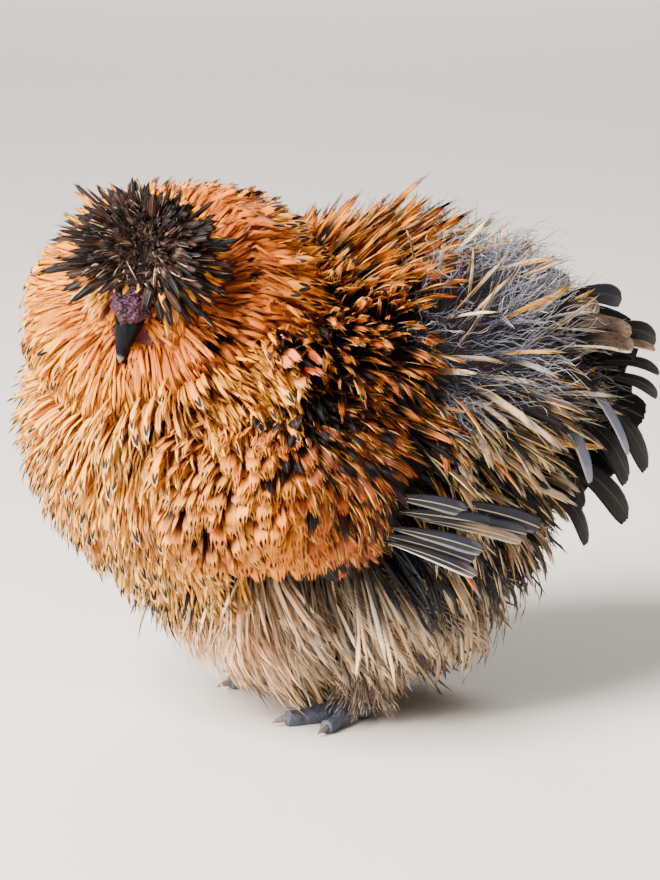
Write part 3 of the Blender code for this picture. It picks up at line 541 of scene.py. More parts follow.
# %% Short words for nodes
class Nodes:
    def __init__(self, tree):
        self.tree = tree

    def add(self, kind, **settings):
        node = self.tree.nodes.new(kind)
        for key, value in settings.items():
            setattr(node, key, value)
        return node

    def wire(self, source, target):
        if isinstance(source, (int, float, tuple)):
            target.default_value = source
        else:
            self.tree.links.new(source, target)

    def math(self, operation, *values, clamp=False):
        node = self.add("ShaderNodeMath", operation=operation, use_clamp=clamp)
        for value, socket in zip(values, node.inputs):
            self.wire(value, socket)
        return node.outputs[0]

    def plus(self, first, second):
        return self.math("ADD", first, second)

    def minus(self, first, second):
        return self.math("SUBTRACT", first, second)

    def times(self, first, second, clamp=False):
        return self.math("MULTIPLY", first, second, clamp=clamp)

    def ramp(self, value, low, high, start=0.0, end=1.0):
        """Rises smoothly from start to end while value goes from low to high."""
        node = self.add("ShaderNodeMapRange", interpolation_type="SMOOTHSTEP")
        for item, socket in zip((value, low, high, start, end), node.inputs):
            self.wire(item, socket)
        return node.outputs[0]

    def mix(self, amount, first, second, blend="MIX"):
        node = self.add("ShaderNodeMix", data_type="RGBA", blend_type=blend)
        self.wire(amount, node.inputs[0])
        self.wire(first, node.inputs[6])
        self.wire(second, node.inputs[7])
        return node.outputs[2]

    def noise(self, vector, scale, detail=2.0, roughness=0.5):
        node = self.add("ShaderNodeTexNoise")
        if vector is not None:
            self.wire(vector, node.inputs["Vector"])
        node.inputs["Scale"].default_value = scale
        node.inputs["Detail"].default_value = detail
        node.inputs["Roughness"].default_value = roughness
        return node.outputs["Fac"]

    def attribute(self, name):
        return self.add("ShaderNodeAttribute", attribute_name=name).outputs["Vector"]

    def separate(self, vector):
        node = self.add("ShaderNodeSeparateXYZ")
        self.wire(vector, node.inputs[0])
        return node.outputs

    def combine(self, *values):
        node = self.add("ShaderNodeCombineXYZ")
        for value, socket in zip(values, node.inputs):
            self.wire(value, socket)
        return node.outputs[0]


def new_group(name, inputs, outputs):
    """A shader node group, and the sockets of its input and output nodes."""
    group = bpy.data.node_groups.new(name, "ShaderNodeTree")
    for label, kind, default in inputs:
        socket = group.interface.new_socket(name=label, in_out="INPUT", socket_type="NodeSocket" + kind)
        socket.default_value = default
    for label, kind in outputs:
        group.interface.new_socket(name=label, in_out="OUTPUT", socket_type="NodeSocket" + kind)
    nodes = Nodes(group)
    return group, nodes, nodes.add("NodeGroupInput").outputs, nodes.add("NodeGroupOutput").inputs


def rgba(colour):
    return (*(float(c) for c in colour), 1.0)


def set_inputs(node, **values):
    """Plain numbers on a node's own sockets, named in words joined by low lines."""
    for label, value in values.items():
        node.inputs[label.replace("_", " ")].default_value = value


def simple_material(name, roughness=0.6, specular=0.4):
    material = bpy.data.materials.new(name)
    material.use_nodes = True
    shader = material.node_tree.nodes["Principled BSDF"]
    set_inputs(shader, Roughness=roughness, Specular_IOR_Level=specular)
    return material, Nodes(material.node_tree), shader


def bumped(n, shader, height, strength, distance):
    bump = n.add("ShaderNodeBump")
    set_inputs(bump, Strength=strength, Distance=distance)
    n.wire(height, bump.inputs["Height"])
    n.wire(bump.outputs["Normal"], shader.inputs["Normal"])


print("colour of umber for a socket:", [round(c, 4) for c in rgba(UMBER)])

# %% [markdown]
# One node group does the markings of every feather, because a painted picture would repeat. It reads how
# far along and across the vane a point is and lays on the downy root, the ground, the paler tip, lacing or
# a stripe, two dark drops, speckles and the shaft. Barbs run slantwise as fine streaks.

# %% Feather markings
def feather_group():
    inputs = (("Vane", "Vector", (0.0, 0.0, 0.0)), ("Marks", "Vector", (0.0, 0.0, 0.0)),
              ("Root", "Color", rgba(UMBER)), ("Ground", "Color", rgba(ORANGE)),
              ("Tip", "Color", rgba(BUFF)), ("Dark", "Color", rgba(BLACK)),
              ("Lace", "Color", rgba(BUFF)), ("Barb Contrast", "Float", 0.4),
              ("Shaft Light", "Float", 0.2), ("Drop Width", "Float", 0.2),
              ("Lace Side", "Float", 0.0), ("Tone Variety", "Float", 0.5),
              ("Root Reach", "Float", 0.3))
    outputs = (("Color", "Color"), ("Roughness", "Float"), ("Height", "Float"))
    group, n, given, out = new_group("feather_markings", inputs, outputs)
    along, across, seed = n.separate(given["Vane"])
    drops, speckles, lacing = n.separate(given["Marks"])
    dark = given["Dark"]
    edge = n.math("ABSOLUTE", across)
    wander = n.noise(n.combine(n.times(along, 3.0), n.times(across, 2.0), n.times(seed, 90.0)), 1.0)
    uneven = n.times(n.minus(wander, 0.5), 0.35)
    reach = n.plus(along, uneven)
    root_end = n.plus(given["Root Reach"], 0.3)
    off_root = n.ramp(reach, given["Root Reach"], root_end)
    colour = n.mix(off_root, given["Root"], given["Ground"])
    tone = n.plus(1.0, n.times(n.minus(seed, 0.55), given["Tone Variety"]))
    colour = n.mix(1.0, colour, n.combine(tone, tone, tone), "MULTIPLY")
    fringe = n.ramp(n.plus(reach, n.times(edge, 0.1)), 0.8, 1.0)
    colour = n.mix(fringe, colour, given["Tip"])
    slant = n.minus(n.times(across, 5.5), n.times(n.times(along, n.math("SIGN", across)), 4.0))
    barbs = n.noise(n.combine(slant, n.times(along, 1.5), n.times(seed, 40.0)), 1.7, 3.0, 0.65)
    streak = n.times(n.minus(barbs, 0.5), given["Barb Contrast"])
    streak = n.plus(1.0, n.times(streak, 3.0))
    colour = n.mix(1.0, colour, n.combine(streak, streak, streak), "MULTIPLY")
    both = n.times(edge, n.minus(1.0, given["Lace Side"]))
    laced_at = n.plus(both, n.times(across, given["Lace Side"]))
    rim = n.ramp(n.plus(laced_at, n.times(uneven, 0.6)), 0.62, 0.8)
    rimmed = n.times(rim, n.math("MAXIMUM", lacing, 0.0))
    colour = n.mix(rimmed, colour, given["Lace"])
    striped = n.times(n.ramp(edge, 0.42, 0.14), n.math("MAXIMUM", n.times(lacing, -1.0), 0.0))
    colour = n.mix(striped, colour, dark)
    beside = n.math("DIVIDE", n.minus(edge, 0.34), given["Drop Width"])
    height = n.math("DIVIDE", n.minus(n.plus(along, n.times(edge, 0.1)), 0.84), 0.07)
    oval = n.plus(n.times(beside, beside), n.times(height, height))
    oval = n.plus(oval, n.times(uneven, 1.5))
    drop = n.times(n.ramp(oval, 1.15, 0.75), drops)
    colour = n.mix(drop, colour, dark)
    spots = n.combine(n.times(along, 16.0), n.times(across, 4.0), n.times(seed, 60.0))
    dots = n.noise(spots, 1.0, 1.0)
    colour = n.mix(n.times(n.ramp(dots, 0.6, 0.66), speckles), colour, dark)
    shaft = n.times(n.ramp(edge, 0.1, 0.03), given["Shaft Light"])
    colour = n.mix(shaft, colour, (0.62, 0.52, 0.38, 1.0))
    n.wire(colour, out["Color"])
    n.wire(n.ramp(barbs, 0.2, 0.8, 0.44, 0.7), out["Roughness"])
    n.wire(n.plus(barbs, n.ramp(edge, 0.12, 0.0, 0.0, 0.5)), out["Height"])
    return group


FEATHER_GROUP = feather_group()
print("inputs of the markings:", len(FEATHER_GROUP.interface.items_tree))

# %% [markdown]
# The same markings serve every plumage. Each has its own material, which places the group with its own
# strengths and lets the barbs stand up a little as bump.

# %% Feather finishes
def feather_material(name, sheen, gloss, lace=BUFF, **strengths):
    """A feather finish: the shared markings, with this plumage's own strength of barbs, shaft and so on."""
    material, n, shader = simple_material(name, specular=gloss)
    group = n.add("ShaderNodeGroup", node_tree=FEATHER_GROUP)
    for label, attribute in (("Vane", "vane"), ("Marks", "marks"), ("Root", "root_tint"),
                             ("Ground", "ground_tint"), ("Tip", "tip_tint")):
        n.wire(n.attribute(attribute), group.inputs[label])
    set_inputs(group, Dark=rgba(BLACK), Lace=rgba(lace), **strengths)
    n.wire(group.outputs["Color"], shader.inputs["Base Color"])
    n.wire(group.outputs["Roughness"], shader.inputs["Roughness"])
    bumped(n, shader, group.outputs["Height"], 0.5, 0.0004)
    set_inputs(shader, Sheen_Weight=sheen, Sheen_Roughness=0.4)
    return material


WHITE_QUILL = screen(240, 236, 230)
PALE_EDGE = screen(222, 180, 140)
BODY_FEATHER = feather_material("body_feather", 0.0, 0.2, Barb_Contrast=0.45, Shaft_Light=0.06)
# The back's dark feather roots reach further up the vane: partly the feathers' own dark down and partly
# painted shade between the feathers.
BACK_FEATHER = feather_material("back_feather", 0.0, 0.2, Barb_Contrast=0.45, Shaft_Light=0.05,
                                Root_Reach=0.42)
RUFF_FEATHER = feather_material("ruff_feather", 0.0, 0.2, Barb_Contrast=0.3, Shaft_Light=0.03,
                                Drop_Width=0.4, Tone_Variety=0.18)
LOOSE_FEATHER = feather_material("loose_feather", 0.05, 0.2, Barb_Contrast=0.25, Shaft_Light=0.1)
CREST_FEATHER = feather_material("crest_feather", 0.0, 0.16, PALE_EDGE, Barb_Contrast=0.35, Shaft_Light=0.12,
                                 Lace_Side=0.8)
TAIL_FEATHER = feather_material("tail_feather", 0.0, 0.16, CREAM, Barb_Contrast=0.25, Shaft_Light=0.05,
                                Lace_Side=0.5)
FLIGHT_FEATHER = feather_material("flight_feather", 0.0, 0.25, WHITE_QUILL, Barb_Contrast=0.25,
                                  Shaft_Light=0.8, Lace_Side=1.0)
print("feather finishes:", BODY_FEATHER.name, LOOSE_FEATHER.name, CREST_FEATHER.name, TAIL_FEATHER.name)

# %% [markdown]
# On the breast the coat flows away from the neck, on the flank it hangs, and over the grey cushion it opens
# like a star. Flow lines could be painted by hand. Here two rules, drawn as the camera sees them and laid
# on to the body's true surface, do it, and a smooth share blends them.

# %% Which way the body's feathers point
NECK_POLE = np.array((0.02, -0.09, 0.195))
CUSHION_POLE = np.array((0.068, 0.055, 0.189))
SIGHT_RIGHT = np.round((math.cos(VIEW_AZIMUTH), math.sin(VIEW_AZIMUTH), 0.0), 4)
SIGHT_UP = np.round((-math.sin(VIEW_AZIMUTH) * math.sin(VIEW_HEIGHT),
                     math.cos(VIEW_AZIMUTH) * math.sin(VIEW_HEIGHT), math.cos(VIEW_HEIGHT)), 3)
SIGHT = np.cross(SIGHT_RIGHT, SIGHT_UP)
HANGING = (0.47, -0.88)
HANGING_HIGHER = (-0.3, -0.1)
FEATHER_RISE = 0.45
NECK_DROP = 0.45


def ease(value, low, high):
    """0 below low, 1 above high, and an even slope between."""
    t = ((value - low) / (high - low)).clip(0.0, 1.0)
    return t * t * (3.0 - 2.0 * t)


def body_normal(directions):
    """Which way the body's surface faces, in each direction from its centre."""
    step = 0.02
    across = unit(np.cross(directions, (0.3, 0.2, 0.93)))
    radius = body_radius(directions)
    normal = directions
    for axis in (across, np.cross(directions, across)):
        slope = (body_radius(unit(directions + step * axis)) - radius) / (step * radius)
        normal = normal - axis * slope[:, None]
    return unit(normal)


def body_lie(directions, rng, scatter):
    """Which way feathers point: away from the neck in front, down the flanks, outwards over the cushion."""
    places = BODY_CENTRE + directions * body_radius(directions)[:, None]
    side = np.where(places[:, 0] < 0.0, -1.0, 1.0)[:, None] * (1.0, 0.0, 0.0) + (0.0, 1.0, 1.0)
    from_neck = unit(places - NECK_POLE) + (0.0, 0.0, -NECK_DROP)
    offset = places * side - CUSHION_POLE
    right, up = offset @ SIGHT_RIGHT, offset @ SIGHT_UP
    star = ease(right, -0.012, 0.01)[:, None]
    ridge = ease(places[:, 2], 0.222, 0.236)[:, None]
    high = ease(up, 0.005, 0.03)[:, None]
    drawn = unit(np.stack([right, up], axis=1)) * star + (HANGING + high * HANGING_HIGHER) * (1.0 - star)
    outward = body_normal(directions) * side
    drawn = drawn - FEATHER_RISE * np.stack([outward @ SIGHT_RIGHT, outward @ SIGHT_UP], axis=1)
    flat = drawn[:, :1] * SIGHT_RIGHT + drawn[:, 1:] * SIGHT_UP
    hanging = (flat - SIGHT * (dot(flat, outward) / (outward @ SIGHT).clip(0.25))[:, None]) * side
    hanging = hanging * (1.0 - ridge) + ridge * (side * (0.3, 0.0, 0.0) + (0.0, 0.8, 0.0))
    rear = ease(places[:, 1], -0.075, -0.045)[:, None]
    flow = from_neck * (1.0 - rear) + hanging * rear
    return along_surface(flow + rng.normal(0.0, scatter, places.shape), directions)


top_lie = body_lie(np.array([[0.0, 0.0, 1.0]]), np.random.default_rng(0), 0.0)
print("at the top of the back they point", top_lie[0].round(2))

# %% [markdown]
# A fold runs down behind the cheek, where the ruff's feathers part. Carving it into the form would stretch
# their rows. A line of places marks it instead: feathers near it are left out and sunk, and their colours are
# painted darker as the fold's shade.

# %% The fold behind the cheek
CREASE = np.array(((0.0583, -0.0522, 0.2281), (0.0646, -0.0559, 0.2203), (0.0699, -0.0628, 0.2085),
                   (0.0721, -0.0665, 0.1998), (0.0719, -0.0728, 0.1926), (0.0699, -0.0796, 0.1886),
                   (0.0668, -0.0897, 0.1808), (0.056, -0.1043, 0.1708)))


def near_crease(places, width=0.0055):
    """1 on the fold behind the cheek, fading to 0 beside it, as seen from the middle of the ruff."""
    line = unit(CREASE - RUFF_CENTRE) * RUFF_RADII[0]
    seen = unit(places - RUFF_CENTRE) * RUFF_RADII[0]
    nearest = np.full(len(places), 1.0)
    for start, end in zip(line, line[1:]):
        run = end - start
        share = (((seen - start) @ run) / (run @ run)).clip(0.0, 1.0)
        nearest = np.minimum(nearest, np.linalg.norm(seen - start - share[:, None] * run, axis=1))
    return np.exp(-(nearest / width) ** 2)


print("the fold at its own middle:", near_crease(CREASE[3:4]).round(2))

# %% [markdown]
# All plumages of the body grow by the same steps, so one function does them. Reach is a feather's length
# along the coat, proud how high it lies, lift how far its tip rises, scatter and roll its disorder. Clump
# and swirl make whole locks stand or turn together.

# %% A plumage on the body
ROOT_SCATTER = 0.014
EDGE_SCATTER = 0.004
ROOT_COVER = 0.002


def facing_of(roots, lie, rng, roll):
    turn = rng.normal(0.0, roll, len(roots))[:, None]
    return unit(roots * np.cos(turn) + np.cross(roots, lie) * np.sin(turn))


def body_feathers(name, region, palette, material, shapes, count, seed, reach, half_width, proud, lift,
                  scatter, roll, steepness=1.7, clump=0.0015, swirl=0.15):
    """Feathers on the body wherever region(places) is true, coloured by palette(places, rng)."""
    rng = np.random.default_rng(seed)
    roots = unit(even_directions(count) + rng.normal(0.0, ROOT_SCATTER, (count, 3)))
    surface = body_radius(roots)
    places = BODY_CENTRE + roots * surface[:, None]
    cores = BODY_CENTRE + roots * (surface - BODY_DEPTH)[:, None]
    on_left = folded(cores)
    covered = inside_ellipsoid(cores, RUFF_CENTRE, RUFF_RADII, -0.022)
    covered |= (on_left[:, 0] > 0.05) & inside_ellipsoid(on_left, WING_CENTRE, WING_RADII, -0.012)
    covered |= inside_ellipsoid(cores, TAIL_CENTRE, TAIL_RADII)
    keep = region(places + rng.normal(0.0, EDGE_SCATTER, places.shape)) & ~covered
    roots, places = roots[keep], places[keep]
    n = len(roots)
    lie = body_lie(roots, rng, scatter)
    lie = along_surface(lie + swirl * tousle_vector(roots, seed, 16.0), roots)
    tints, marks, top = palette(places, rng)
    swell = clump * tousle(roots, seed + 5, 22.0)
    heights = np.where(top, proud[1] + 0.0012, rng.uniform(*proud, n)) + swell - 0.004 * near_crease(places)
    lifts = np.where(top, lift[1] + 0.0005, rng.uniform(*lift, n))
    widths = rng.uniform(*half_width, n) * np.where(top, 1.25, 1.0)
    lengths = rng.uniform(*reach, n)
    shaft = on_form(BODY_CENTRE, body_radius, roots, lie, lengths, BODY_DEPTH + ROOT_COVER, heights, lifts,
                    steepness)
    obj = grow(name, shapes, shaft, facing_of(roots, lie, rng, roll), widths, roots, tints, marks, rng)
    adopt(obj, material, "plumage")


# %% [markdown]
# Masks for the plumages could be painted, but that would tie them to one mesh. Short functions of the place
# say where each grows, and the roots are jittered first, so that no border is sharp.

# %% Regions of the body
SHOULDER = np.array((0.0815, -0.04, 0.194))
SHOULDER_REACH = 0.007
BAND_DEPTH = 0.013
LOCKS_DEPTH = 0.012


def front_line(p):
    """How far a place lies behind the line where the breast gives way to the rusty back."""
    return p[:, 1] + 0.03 + 0.022 * ease(p[:, 2], 0.145, 0.165)


def rear_line(p):
    """How far a place lies behind the line where the rusty back gives way to the grey cushion."""
    return p[:, 1] - 0.02 - 0.42 * (p[:, 2] - 0.15)


def belly_line(p):
    """Height at which the coloured coat ends and the belly's down begins."""
    behind_breast = 0.041 * ease(p[:, 1], -0.088, -0.05)
    return 0.064 + behind_breast - 0.01 * ease(p[:, 1], -0.01, 0.03)


def on_breast(p):
    return (front_line(p) < 0.0) & (p[:, 2] > belly_line(p))


def on_back(p):
    return (front_line(p) >= 0.0) & (rear_line(p) < 0.0) & (p[:, 2] > belly_line(p))


def on_cushion(p):
    return (rear_line(p) >= 0.0) & (p[:, 2] > 0.158 - 0.25 * (p[:, 1] - 0.06))


def on_hip(p):
    under_cushion = p[:, 2] <= 0.176 - 0.25 * (p[:, 1] - 0.06)
    return (rear_line(p) >= 0.0) & under_cushion & (p[:, 2] > belly_line(p) + 0.004)


def on_belly(p):
    return p[:, 2] <= belly_line(p) + 0.008


def on_belly_band(p):
    """The dark band of fine strands along the belly's upper edge."""
    return on_belly(p) & (p[:, 2] > belly_line(p) - BAND_DEPTH)


def on_belly_locks(p):
    """Where the longer pale locks grow, from just under the band's edge to the bird's underside."""
    return p[:, 2] < belly_line(p) - LOCKS_DEPTH


def on_shoulder(p):
    return np.linalg.norm(folded(p) - SHOULDER, axis=1) < SHOULDER_REACH


def in_gap(p):
    """The opening at the shoulder, between the ruff, the wing and the back, made dark by feathers painted
    black as its shade.
    """
    return np.exp(-(((np.abs(p[:, 0]) - 0.088) / 0.03) ** 2 + ((p[:, 1] + 0.032) / 0.016) ** 2
                    + ((p[:, 2] - 0.177) / 0.014) ** 2))


for height in (0.22, 0.13, 0.06):
    flank = np.array([[0.09, 0.0, height]])
    print("flank", height, "m up: on back", on_back(flank)[0], "and on belly", on_belly(flank)[0])

# %% [markdown]
# Breast feathers run from orange to amber and turn buff in front and below. The back is rust and chestnut
# with black between. A palette draws a root, a ground and a tip colour for each feather, and how strong its
# drops, speckles and lacing are. Those on top are wider.

# %% Colours of breast and back
def constant(colour, count):
    return np.repeat(np.asarray(colour)[None], count, axis=0)


def between(first, second, amount):
    amount = np.asarray(amount).clip(0.0, 1.0)[:, None]
    return first * (1.0 - amount) + second * amount


def patches(p, seed, fineness=9.0):
    """Random smooth patches over the body, from 0 to 1."""
    return 0.5 + 0.5 * tousle(unit(p - BODY_CENTRE), seed, fineness).clip(-1.0, 1.0)


def breast_palette(p, rng):
    n = len(p)
    front = ((-0.075 - p[:, 1]) / 0.04).clip(0.0, 1.0)
    low = ((0.12 - p[:, 2]) / 0.04).clip(0.0, 1.0)
    # Along the fold behind the cheek the breast's colours are painted darker, towards chestnut, rust and
    # umber, as its shade.
    crease_shade = near_crease(p, 0.008)
    ground = between(ORANGE, AMBER, rng.uniform(0.0, 1.0, n))
    ground = between(ground, BUFF, 0.2 * front + 0.45 * low + 0.2 * rng.random(n) * patches(p, 3))
    tip = between(AMBER, CREAM, 0.05 + 0.5 * front + 0.5 * low * rng.random(n))
    root = between(CHESTNUT, ORANGE, rng.uniform(0.0, 1.0, n))
    ground = between(ground, CHESTNUT, 0.9 * crease_shade * rng.uniform(0.4, 1.0, n))
    tip = between(tip, RUST, 0.8 * crease_shade)
    root = between(root, UMBER, crease_shade)
    striped = (rng.random(n) < 0.45) & (p[:, 1] > -0.112) & (p[:, 1] < -0.06)
    top = (rng.random(n) < 0.24) & ~striped & (crease_shade < 0.3)
    marks = np.stack([1.0 * top, 0.06 * rng.random(n), -0.9 * striped * rng.random(n)], 1)
    return (root, ground, tip), marks, top


def back_palette(p, rng):
    n = len(p)
    high = ease(p[:, 2], 0.18, 0.215)
    gap_shade = in_gap(p)
    ground = between(CHESTNUT, RUST, rng.random(n) * 1.2 + 0.2 * high)
    ground = between(ground, ORANGE, rng.random(n) ** 1.5 * (0.45 + 0.75 * high))
    tip = between(RUST, BUFF, rng.random(n) ** 1.5 * (0.8 + 0.3 * high))
    root = between(BLACK, UMBER, rng.random(n))
    # Some back feathers are black of their own; in the opening at the shoulder nearly all are painted black,
    # their tips kept dark, as its shade.
    dark = rng.random(n) < 0.42 - 0.28 * high + 0.9 * gap_shade
    ground[dark] = BLACK
    tip[dark] = between(BLACK, CHESTNUT, rng.random(n) * (1.0 - gap_shade))[dark]
    top = (rng.random(n) < 0.1) & ~dark
    marks = np.stack([1.0 * top, 0.9 * rng.random(n), 0.9 * rng.random(n) * ~dark], 1)
    return (root, ground, tip), marks, top


def gap_palette(p, rng):
    """Pale feathers with a pinkish tinge that hang over the dark opening."""
    n = len(p)
    ground = between(screen(214, 132, 78), RUST, rng.random(n))
    tip = between(screen(230, 170, 132), RUST, 0.8 * rng.random(n))
    return (constant(CHESTNUT, n), ground, tip), np.zeros((n, 3)), np.ones(n, bool)


breast_tints, _, _ = breast_palette(np.zeros((4, 3)), np.random.default_rng(1))
print("first ground colour drawn for the breast:", breast_tints[1][0].round(2))

# %% [markdown]
# Behind the rusty back lies the cushion, a dome of slate-grey down strewn with spangled feathers. The hip
# is speckled cream and brown, and the belly has a dark band over pale locks.

# %% Colours of cushion, hip and belly
def cushion_palette(p, rng):
    n = len(p)
    rim = ease(np.linalg.norm(p * (0.0, 1.0, 1.0) - (0.0, 0.052, 0.192), axis=1), 0.014, 0.04)
    tail_side = ease(p[:, 1], 0.09, 0.108) * ease(-p[:, 2], -0.196, -0.176)
    ground = between(SLATE * 0.7, DOWN_GREY, rng.random(n) * (0.4 + 0.6 * rim))
    ground = between(ground, PALE_GREY, 0.35 * rim * rng.random(n))
    tip = between(DOWN_GREY, PALE_GREY, rng.random(n))
    tip = between(tip, CREAM, 1.1 * rim * rng.random(n) ** 1.5)
    root = between(SLATE * 0.4, CHARCOAL * 0.7, rng.random(n))
    ground = between(ground, BLACK, 0.95 * tail_side)
    tip = between(tip, CHARCOAL, 0.9 * tail_side * rng.random(n) ** 0.5)
    return (root, ground, tip), np.zeros((n, 3)), np.zeros(n, bool)


def cushion_spangles(p, rng):
    """Cream and tan feathers that lie loose on the grey down, with dark speckles and pale edges."""
    n = len(p)
    high = ease(p[:, 2], 0.19, 0.205)
    warm = rng.random(n) < 0.25
    grey = between(TAUPE * 0.5, PALE_GREY * 0.5, rng.random(n))
    ground = np.where(warm[:, None], AMBER, between(grey, CREAM, 0.5 * high * rng.random(n)))
    tip = between(CREAM, BUFF, rng.random(n))
    marks = np.stack([0.8 * warm, rng.uniform(0.2, 1.0, n), rng.uniform(0.4, 1.0, n)], 1)
    return (constant(SLATE * 0.6, n), ground, tip), marks, np.zeros(n, bool)


def hip_palette(p, rng):
    n = len(p)
    tail_side = ease(p[:, 1], 0.098, 0.115)
    ground = between(TAUPE * 0.3, TAUPE, rng.random(n))
    ground = between(ground, CHARCOAL, rng.random(n) ** 2 + 0.8 * tail_side)
    tip = between(CREAM, TAUPE, rng.random(n))
    root = between(BLACK, SLATE, rng.random(n) ** 2)
    rusty = (rng.random(n) < 0.12) & (p[:, 1] < 0.085)
    ground[rusty] = RUST
    bright = rng.random(n) < 0.09
    ground[bright] = screen(206, 180, 160)
    dark = (rng.random(n) < 0.42) & ~bright
    ground[dark] = BLACK
    tip[dark] = CHARCOAL
    top = (rng.random(n) < 0.2) & ~dark
    drops = 0.3 * rng.random(n) * ~dark
    marks = np.stack([drops, rng.uniform(0.2, 1.0, n), rng.uniform(0.5, 1.0, n) * ~dark], 1)
    return (root, ground, tip), marks, top


def belly_palette(p, rng):
    n = len(p)
    front = ease(-p[:, 1], 0.02, 0.06)
    depth = belly_line(p) - p[:, 2]
    patch = np.maximum(ease(patches(p, 8, 14.0), 0.25, 0.5), front)
    pale = ease(depth + 0.01 * front, 0.018, 0.027) * (0.2 + 0.8 * patch)
    pale = pale * (1.0 - 0.45 * ease(p[:, 1], 0.0, 0.045))
    ground = between(BLACK, SLATE * 0.8, 0.7 * rng.random(n) ** 2)
    light = between(PINKISH, CREAM, rng.random(n))
    light = between(light, PINKISH, 0.6 * front)
    ground = between(ground, light, pale * rng.uniform(0.8, 1.3, n))
    tip = between(CREAM, PINKISH, rng.random(n))
    tip = between(CHARCOAL, tip, pale)
    root = between(BLACK, CHARCOAL, rng.random(n))
    root = between(root, light * 0.8, pale * rng.uniform(0.3, 1.0, n))
    top = (rng.random(n) < 0.4 * pale) | (front * pale * rng.random(n) > 0.4)
    return (root, ground, tip), np.zeros((n, 3)), top


hip_tints, _, _ = hip_palette(np.zeros((4, 3)), np.random.default_rng(1))
print("first ground colour drawn for the hip:", hip_tints[1][0].round(2))

# %% [markdown]
# Webbed feathers alone look like shingles and fine strands alone like fur, so the breast is laid with both.
# A few pale coverts hang over the dark opening at the shoulder.

# %% Coat of breast and back
BREAST_SHAPES = SILK_SHAPES * 2 + TICK_SHAPES
body_feathers("coat_breast", on_breast, breast_palette, RUFF_FEATHER, BREAST_SHAPES, 15500, 21,
              reach=(0.028, 0.044), half_width=(0.001, 0.0018), proud=(-0.006, -0.003), lift=(-0.001, 0.001),
              scatter=0.07, roll=0.25, swirl=0.16)
body_feathers("coat_breast_silk", on_breast, breast_palette, RUFF_FEATHER, FINE_SHAPES, 15500, 20,
              reach=(0.026, 0.042), half_width=(0.0005, 0.001), proud=(-0.0045, -0.002), lift=(-0.001, 0.002),
              scatter=0.12, roll=0.4, swirl=0.2)
body_feathers("coat_back", on_back, back_palette, BACK_FEATHER, SILK_SHAPES + NARROW_SHAPES, 11500, 22,
              reach=(0.018, 0.032), half_width=(0.001, 0.002), proud=(-0.012, -0.003), lift=(0.001, 0.007),
              scatter=0.14, roll=0.55, steepness=1.2, clump=0.003, swirl=0.22)
body_feathers("coat_gap", on_shoulder, gap_palette, BODY_FEATHER, COVERT_SHAPES, 8000, 28,
              reach=(0.02, 0.032), half_width=(0.0016, 0.0028), proud=(-0.005, 0.0), lift=(0.002, 0.008),
              scatter=0.18, roll=0.5, steepness=1.4, clump=0.0, swirl=0.2)

# %% [markdown]
# The rear half is softer: curly down on the cushion, long webs among silky ones on the hip, and on the
# belly loose plumes for depth, a dark band of strands and longer locks.

# %% Coat of cushion, hip and belly
CUSHION_SHAPES = DOWN_SHAPES + CURL_SHAPES * 2
LOCK_SHAPES = SILK_SHAPES + FINE_SHAPES
SPANGLE_SHAPES = SILK_SHAPES + LONG_SHAPES
body_feathers("coat_cushion", on_cushion, cushion_palette, LOOSE_FEATHER, CUSHION_SHAPES, 4100, 23,
              reach=(0.018, 0.034), half_width=(0.0046, 0.0072), proud=(-0.012, -0.004), lift=(0.002, 0.01),
              scatter=0.3, roll=0.6, steepness=1.3, clump=0.0035, swirl=0.8)
body_feathers("coat_hip", on_hip, hip_palette, BODY_FEATHER, LONG_SHAPES + SILK_SHAPES, 9000, 24,
              reach=(0.028, 0.044), half_width=(0.0009, 0.0022), proud=(-0.011, -0.002), lift=(-0.001, 0.006),
              scatter=0.12, roll=0.5, steepness=1.5, clump=0.003, swirl=0.25)
body_feathers("coat_belly", on_belly, belly_palette, LOOSE_FEATHER, PLUME_SHAPES, 2300, 25,
              reach=(0.028, 0.044), half_width=(0.0034, 0.0054), proud=(-0.01, -0.002), lift=(-0.002, 0.003),
              scatter=0.14, roll=0.5, steepness=1.5, clump=0.003, swirl=0.3)
body_feathers("coat_belly_band", on_belly_band, belly_palette, LOOSE_FEATHER, FINE_SHAPES, 9500, 27,
              reach=(0.012, 0.022), half_width=(0.0005, 0.001), proud=(-0.006, 0.001), lift=(0.0, 0.005),
              scatter=0.14, roll=0.5, steepness=1.5, clump=0.003, swirl=0.35)
body_feathers("coat_belly_locks", on_belly_locks, belly_palette, LOOSE_FEATHER, LOCK_SHAPES, 9500, 29,
              reach=(0.024, 0.042), half_width=(0.0006, 0.0013), proud=(-0.008, 0.0), lift=(-0.002, 0.003),
              scatter=0.09, roll=0.5, steepness=1.5, clump=0.0045, swirl=0.28)
body_feathers("coat_spangles", on_cushion, cushion_spangles, BODY_FEATHER, SPANGLE_SHAPES, 1000, 26,
              reach=(0.016, 0.03), half_width=(0.0008, 0.0016), proud=(-0.005, 0.001), lift=(0.0, 0.007),
              scatter=0.25, roll=0.6, steepness=1.2, clump=0.0, swirl=0.7)

# %% [markdown]
# The ruff opens like a fan round the bowed head, and the face lies in a hollow of it. A Boolean could cut
# the hollow, but the feathers have to follow it too, so it is taken off the ruff's radius.

# %% Shape of the ruff
FACE_POLE = unit(np.array(HEAD_CENTRE) - RUFF_CENTRE)
DISH_DEPTH = 0.016
DISH_EDGE = 68.0
DISH_SLOPE = 30.0


def degrees_from_face(directions):
    return np.degrees(np.arccos(dot(directions, FACE_POLE).clip(-1.0, 1.0)))


def on_cheek_side(directions):
    """1 towards the bird's left and rear, where a fold runs behind the cheek, and 0 towards her front."""
    return ease(directions @ HEAD_ARRAY[:, 0], -0.1, 0.25)


